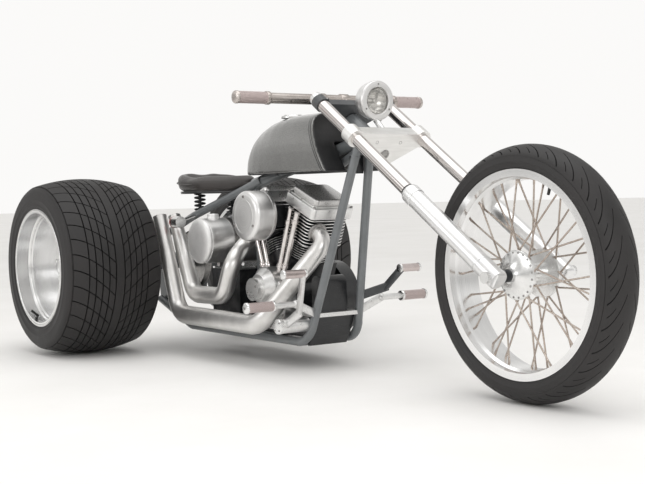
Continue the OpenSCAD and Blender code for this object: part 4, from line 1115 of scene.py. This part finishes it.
part = newMesh()
cleanerMiddle = middle("air_cleaner")
cleanerBack = Vector((cleanerMiddle.x, -0.128, 0.504))
addPart(part, lathe(((0, 0), (0.072, 0), (0.0762, 0.0012), (0.0775, 0.003), (0.0775, 0.0065),
                     (0.0822, 0.0085),
                     (0.083, 0.011), (0.083, 0.0165), (0.0818, 0.0172), (0.0818, 0.0192), (0.083, 0.020),
                     (0.083, 0.0695), (0.0822, 0.0742), (0.0795, 0.0785), (0.0750, 0.0815), (0.0690, 0.0828),
                     (0.058, 0.0834), (0.0575, 0.0828), (0.055, 0.0828), (0.0545, 0.0836), (0.030, 0.084),
                     (0, 0.084)),
                    steps=128), facing(cleanerBack, (0, -1, 0)))
for index in range(3):
    turn = 2 * math.pi * index / 3 + math.pi / 2
    place = cleanerBack + Vector((0.064 * math.cos(turn), -0.0832, 0.064 * math.sin(turn)))
    addPart(part, bolt(place, (0, -1, 0), 0.0048, 0.0026), material=1)
finishPiece("roundAirCleaner", part, "chassis", [spunCleaner, metals["boltSteel"]],
            ("air_cleaner",))
give("carburettor", paints["darkSteel"])
print("oil tank and air cleaner made")

engineLook = dict(barrel=0.065, barrelFoot=0.167, barrelTop=0.224, headFoot=0.228, headTop=0.328,
                  head=(0.150, 0.156),
                  corner=0.024, barrelFins=7, headFins=9, finThick=0.0034)
part = newMesh()
for side in (-1, 1):
    place = onCylinder(side)
    outline = []
    count = engineLook["barrelFins"]
    pitch = (engineLook["barrelTop"] - engineLook["barrelFoot"]) / count
    for index in range(count):
        foot = engineLook["barrelFoot"] + index * pitch
        outline += [(0.054, foot), (engineLook["barrel"] - 0.001, foot + 0.0004),
                    (engineLook["barrel"], foot + 0.0012),
                    (engineLook["barrel"], foot + engineLook["finThick"] - 0.0012),
                    (engineLook["barrel"] - 0.001, foot + engineLook["finThick"] - 0.0004),
                    (0.054, foot + engineLook["finThick"])]
    stack = lathe([(0, outline[0][1])] + outline + [(0, outline[-1][1])], steps=64)
    for face in stack.faces:
        outside = math.hypot(*face.calc_center_median().xy) > engineLook["barrel"] - 0.0013
        face.material_index = 1 if outside else 0
    addPart(part, stack, place)
    count = engineLook["headFins"]
    pitch = (engineLook["headTop"] - engineLook["headFoot"]) / count
    wide, deep = engineLook["head"]
    core = block((wide - 0.034, deep - 0.034, engineLook["headTop"] - engineLook["headFoot"] + 0.006), 0.002,
                 1,
                 upright=0.016)
    addPart(part, core, place @ Matrix.Translation((0, 0,
                                                    (engineLook["headTop"] + engineLook["headFoot"]) / 2)))
    for index in range(count):
        fin = block((wide, deep, engineLook["finThick"] + 0.0006), 0.0011, 2, upright=engineLook["corner"])
        for face in fin.faces:
            face.material_index = 1 if abs(face.normal.z) < 0.75 else 0
        addPart(part, fin, place @ Matrix.Translation((0, 0, engineLook["headFoot"] + (index + 0.5) * pitch)))
finishPiece("finnedCylinders", part, "chassis", [paints["blackEnamel"], metals["castBright"]],
            ("cylinders",), sharp=30)

part = newMesh()
for side in (-1, 1):
    place = onCylinder(side)
    addPart(part, block((0.170, 0.166, 0.0395), 0.0045, 3, upright=0.016),
            place @ Matrix.Translation((0, 0, 0.3505)))
    addPart(part, block((0.156, 0.152, 0.004), 0.0012, 2, upright=0.016),
            place @ Matrix.Translation((0, 0, 0.3722)))
    addPart(part, block((0.144, 0.140, 0.024), 0.006, 3, upright=0.016),
            place @ Matrix.Translation((0, 0, 0.384)),
            material=1)
    for x in (-0.0765, 0, 0.0765):
        for y in (-0.0745, 0.0745):
            spot = place @ Vector((x, y, 0.3702))
            addPart(part, bolt(spot, place.to_3x3() @ Vector((0, 0, 1)), 0.0042, 0.0045), material=2)
finishPiece("rockerBoxes", part, "chassis", [metals["castBright"], paints["lidGloss"], metals["boltSteel"]],
            ("rocker_boxes",), sharp=35)

for node, material in (("crankcase", paints["blackEnamel"]), ("pushrod_tubes", metals["forkChrome"]),
                       ("cam_cover", metals["castBright"]), ("primary_cover", paints["blackEnamel"]),
                       ("gearbox", paints["darkSteel"]), ("front_block", paints["blackEnamel"]),
                       ("front_strut", metals["castBright"]), ("belly_pan", paints["blackEnamel"]),
                       ("ignition_coil", paints["blackEnamel"])):
    give(node, material)

part = newMesh()
for side in (-1, 1):
    for k in (-1, 1):
        foot = at(800 + side * 34 + k * 14, -96, 282)
        head = Vector((crank.x + side * math.sin(veeAngle / 2) * 0.330 + k * 0.022, -0.090,
                       crank.z + math.cos(veeAngle / 2) * 0.330 + 0.020))
        run = (head - foot).normalized()
        length = (head - foot).length
        for low, high, radius in ((0.050, 0.062, 0.0135), (0.062, 0.066, 0.0118),
                                  (length - 0.066, length - 0.052, 0.013)):
            addPart(part, bar(foot + run * low, foot + run * high, radius, round=0.001))
finishPiece("pushrodCollars", part, "chassis", [metals["forkChrome"]])

part = newMesh()
for index in range(9):
    turn = math.radians(200 + index * 22)
    addPart(part, bolt(at(810 + 81 * math.cos(turn), -118, 212 + 81 * math.sin(turn)), (0, -1, 0), 0.0042,
                       0.004))
for turn in (math.radians(25), math.radians(205)):
    addPart(part, bolt(at(786 + 27 * math.cos(turn), -178, 258 + 27 * math.sin(turn)), (0, -1, 0), 0.004,
                       0.0026))
for index in range(10):
    turn = math.radians(15 + index * 36)
    addPart(part, bolt(at(800 + 119 * math.cos(turn), 166, 212 + 119 * math.sin(turn)), (0, 1, 0), 0.0045,
                       0.004))
    addPart(part, bolt(at(430 + 111 * math.cos(turn), 166, 212 + 111 * math.sin(turn)), (0, 1, 0), 0.0045,
                       0.004))
for x in (540, 690):
    addPart(part, bolt(at(x, 166, 330), (0, 1, 0), 0.0045, 0.004))
    addPart(part, bolt(at(x, 166, 96), (0, 1, 0), 0.0045, 0.004))
finishPiece("coverBolts", part, "chassis", [metals["boltSteel"]])

part = newMesh()
for x, radius in ((430, 0.074), (800, 0.060)):
    addPart(part, lathe(((radius + 0.004, -0.001), (radius + 0.004, 0.002), (radius, 0.0045),
                         (radius - 0.010, 0.006),
                         (radius * 0.5, 0.0072), (0, 0.0075)), steps=80), facing(at(x, 166, 212), (0, 1, 0)))
finishPiece("primaryDiscs", part, "chassis", [paints["lidGloss"]])
print("engine made")

exhaustLooks = {
    "front": dict(points=((977.8, -44, 446.6), (1035.1, -44, 422.9), (868, -206, 146), (334, -206, 148),
                          (198, -206, 500)),
                  bends=(0.040, 0.070, 0.075), radii=((0, 0.0255), (0.1, 0.030), (0.3, 0.033), (0.64, 0.0335),
                                                     (0.8, 0.0295), (1, 0.0262))),
    "rear": dict(points=((622, -44, 447), (544, -44, 414), (610, -146, 342), (550, -146, 220),
                         (340, -146, 216),
                         (200, -146, 500)),
                 bends=(0.062, 0.062, 0.062, 0.062), radii=((0, 0.0255), (0.25, 0.030), (0.6, 0.0315),
                                                            (0.8, 0.0285),
                                                          (1, 0.0232))),
}
for name, look in exhaustLooks.items():
    path = filled(roundedPath([at(*point) for point in look["points"]], look["bends"]), 0.02)
    radiusAt = blendStops(look["radii"])
    part = newMesh()
    addPart(part, sweep(path, radiusAt, sides=40, caps=False))
    tip, run = path[-1], (path[-1] - path[-2]).normalized()
    edge = radiusAt(1)
    addPart(part, lathe(((edge, -0.0006), (edge + 0.0004, 0.0006), (edge - 0.0006, 0.0015),
                         (edge - 0.0024, 0.0006),
                         (edge - 0.0026, -0.002)), steps=40), facing(tip, run))
    addPart(part, sweep([tip - run * 0.085, tip - run * 0.04, tip + run * 0.0002], lambda t: edge - 0.0026,
                        sides=40,
                        caps=False), material=1)
    addPart(part, lathe(((0, 0), (edge - 0.002, 0)), steps=40), facing(tip - run * 0.085, run), material=1)
    port, into = path[0], (path[1] - path[0]).normalized()
    addPart(part, lathe(((0.0255, 0.001), (0.033, 0.001), (0.0345, 0.003), (0.0345, 0.007), (0.033, 0.009),
                         (0.0255, 0.010)),
                        steps=48), facing(port, into), material=2)
    finishPiece(name + "Pipe", part, "chassis",
                [paints["exhaustCoat"], paints["exhaustSoot"], metals["boltSteel"]],
                (name + "_exhaust",), sharp=50)
print("exhausts made")

for node in ("backbone", "downtubes", "lower_rails", "top_rails", "cross_members", "rear_axle_housing"):
    give(node, paints["framePaint"])
give("rear_pulley", metals["boltSteel"])
give("drive_belt", beltRubber)
give("tail_lamps", metals["polishedAlloy"])

part = newMesh()
for side in (-1, 1):
    lens = lathe(((0.0205, 0.0435), (0.0214, 0.0442), (0.0208, 0.052), (0.0185, 0.0575), (0.0145, 0.0618),
                  (0.0085, 0.0647),
                  (0, 0.0658)), steps=48)
    addPart(part, lens, facing(at(330, side * 190, 480), (-1, 0, 0)))
finishPiece("lampLenses", part, "chassis", [paints["redLens"]])

part = newMesh()
for side in (-1, 1):
    for y, outward in ((356, 1), (258, -1)):
        addPart(part, lathe(((0.016, -0.004), (0.0178, -0.003), (0.0178, 0.002), (0.0162, 0.0045),
                             (0.010, 0.0062),
                             (0, 0.0066)), steps=40), facing(at(1038, side * y, 224), (0, side * outward, 0)))
for x, y, z, low in ((1190, -318, 332, -240), (1142, 246, 325, 170)):
    side = 1 if y > 0 else -1
    for place, outward in ((y, side), (low, -side)):
        addPart(part, lathe(((0.013, -0.003), (0.0145, -0.002), (0.0145, 0.002), (0.0132, 0.004),
                             (0.008, 0.0052),
                             (0, 0.0055)), steps=32), facing(at(x, place, z), (0, outward, 0)))
addPart(part, lathe(((0.0232, -0.010), (0.0245, -0.009), (0.0245, 0.0015), (0.0225, 0.004), (0.012, 0.0052),
                     (0, 0.0055)),
                    steps=48), facing(at(994, -212, 152), (0, -1, 0)))
def flatBar(start, end, wide, thick):  # a flat arm, its broad faces to the sides
    run = (end - start).normalized()
    side = Vector((0, 1, 0)) if abs(run.y) < 0.7 else Vector((1, 0, 0))
    side = (side - run * side.dot(run)).normalized()
    part = block(((end - start).length + wide * 0.6, thick, wide), 0.0025, 2)
    turned = Matrix((run, side, run.cross(side))).transposed().to_4x4()
    bmesh.ops.transform(part, matrix=Matrix.Translation((start + end) / 2) @ turned, verts=part.verts)
    return part

brakeLook = dict(cylinder=(994, 152), body=0.023, knee=(1090, -196, 200), end=(1188, -246, 326), pad=0.013)
shiftLook = dict(foot=(1041.4, 86, 236), knee=(1090, 150, 262), end=(1140, 176, 322), pad=0.013)
arms = newMesh()
x, z = brakeLook["cylinder"]
addPart(arms, bar(at(x, -212, z), at(x, -100, z), brakeLook["body"], sides=48, round=0.0015))
addPart(arms, flatBar(at(x, -190, z), at(*brakeLook["knee"]), 0.028, 0.011))
addPart(arms, flatBar(at(*brakeLook["knee"]), at(*brakeLook["end"]), 0.024, 0.011))
addPart(arms, bar(at(1190, -318, 332), at(1190, -240, 332), brakeLook["pad"], sides=40), material=1)
finishPiece("brakeArm", arms, "chassis", [metals["castBright"], ribbedPad],
            ("brake_pedal",))
arms = newMesh()
addPart(arms, flatBar(at(*shiftLook["foot"]), at(*shiftLook["knee"]), 0.028, 0.011))
addPart(arms, flatBar(at(*shiftLook["knee"]), at(*shiftLook["end"]), 0.025, 0.011))
addPart(arms, bar(at(1142, 170, 325), at(1142, 246, 325), shiftLook["pad"], sides=40), material=1)
finishPiece("shiftArm", arms, "chassis", [paints["clampPaint"], ribbedPad],
            ("shift_lever",))

footLook = dict(x=1038, z=224, inner=258, outer=356, sleeve=0.016, shaft=0.010)
pegs = newMesh()
for side in (-1, 1):
    x, z = footLook["x"], footLook["z"]
    addPart(pegs, bar(at(x, side * footLook["inner"], z), at(x, side * footLook["outer"], z),
                      footLook["sleeve"], sides=40))
    addPart(pegs, bar(at(x, side * 165, z), at(x, side * 260, z), footLook["shaft"], round=0.001), material=1)
    addPart(pegs, flatBar(at(1027.7, side * 97, 190), at(x, side * 172, z), 0.026, 0.010), material=1)
    knuckle = lathe(((0, -0.0130), (0.0075, -0.0115), (0.0118, -0.0065), (0.0130, 0), (0.0118, 0.0065),
                     (0.0075, 0.0115),
                     (0, 0.0130)), steps=32)
    addPart(pegs, knuckle, facing(at(x, side * 172, z), (0, 1, 0)), material=1)
finishPiece("knurledPegs", pegs, "chassis", [knurledPeg, metals["castBright"]],
            ("foot_pegs",))
finishPiece("controlCaps", part, "chassis", [metals["polishedAlloy"]])
part = newMesh()
for index in range(4):
    turn = math.radians(45 + 90 * index)
    addPart(part, bolt(at(994 + 17 * math.cos(turn), -216, 152 + 17 * math.sin(turn)), (0, -1, 0), 0.003,
                       0.002))
for side in (-1, 1):
    addPart(part, bolt(at(1038, side * 362, 224), (0, side, 0), 0.005, 0.002))
finishPiece("controlScrews", part, "chassis", [metals["boltSteel"]])

weldLook = dict(bead=0.0032)
part = newMesh()
welds = (
    (at(1184, -24, 716), at(998, -98, 90), 0.014, 0.030), (at(1184, 24, 716), at(998, 98, 90), 0.014, 0.030),
)
for start, end, radius, skip in welds:
    run = (end - start).normalized()
    ring = lathe(((radius - 0.001, -weldLook["bead"]),
                  (radius + weldLook["bead"] * 0.6, -weldLook["bead"] * 0.5),
                  (radius + weldLook["bead"] * 0.7, weldLook["bead"] * 0.4),
                  (radius - 0.001, weldLook["bead"])), steps=36)
    addPart(part, ring, facing(start + run * skip, run))
finishPiece("weldBeads", part, "chassis", [paints["framePaint"]])
print("frame and controls made")
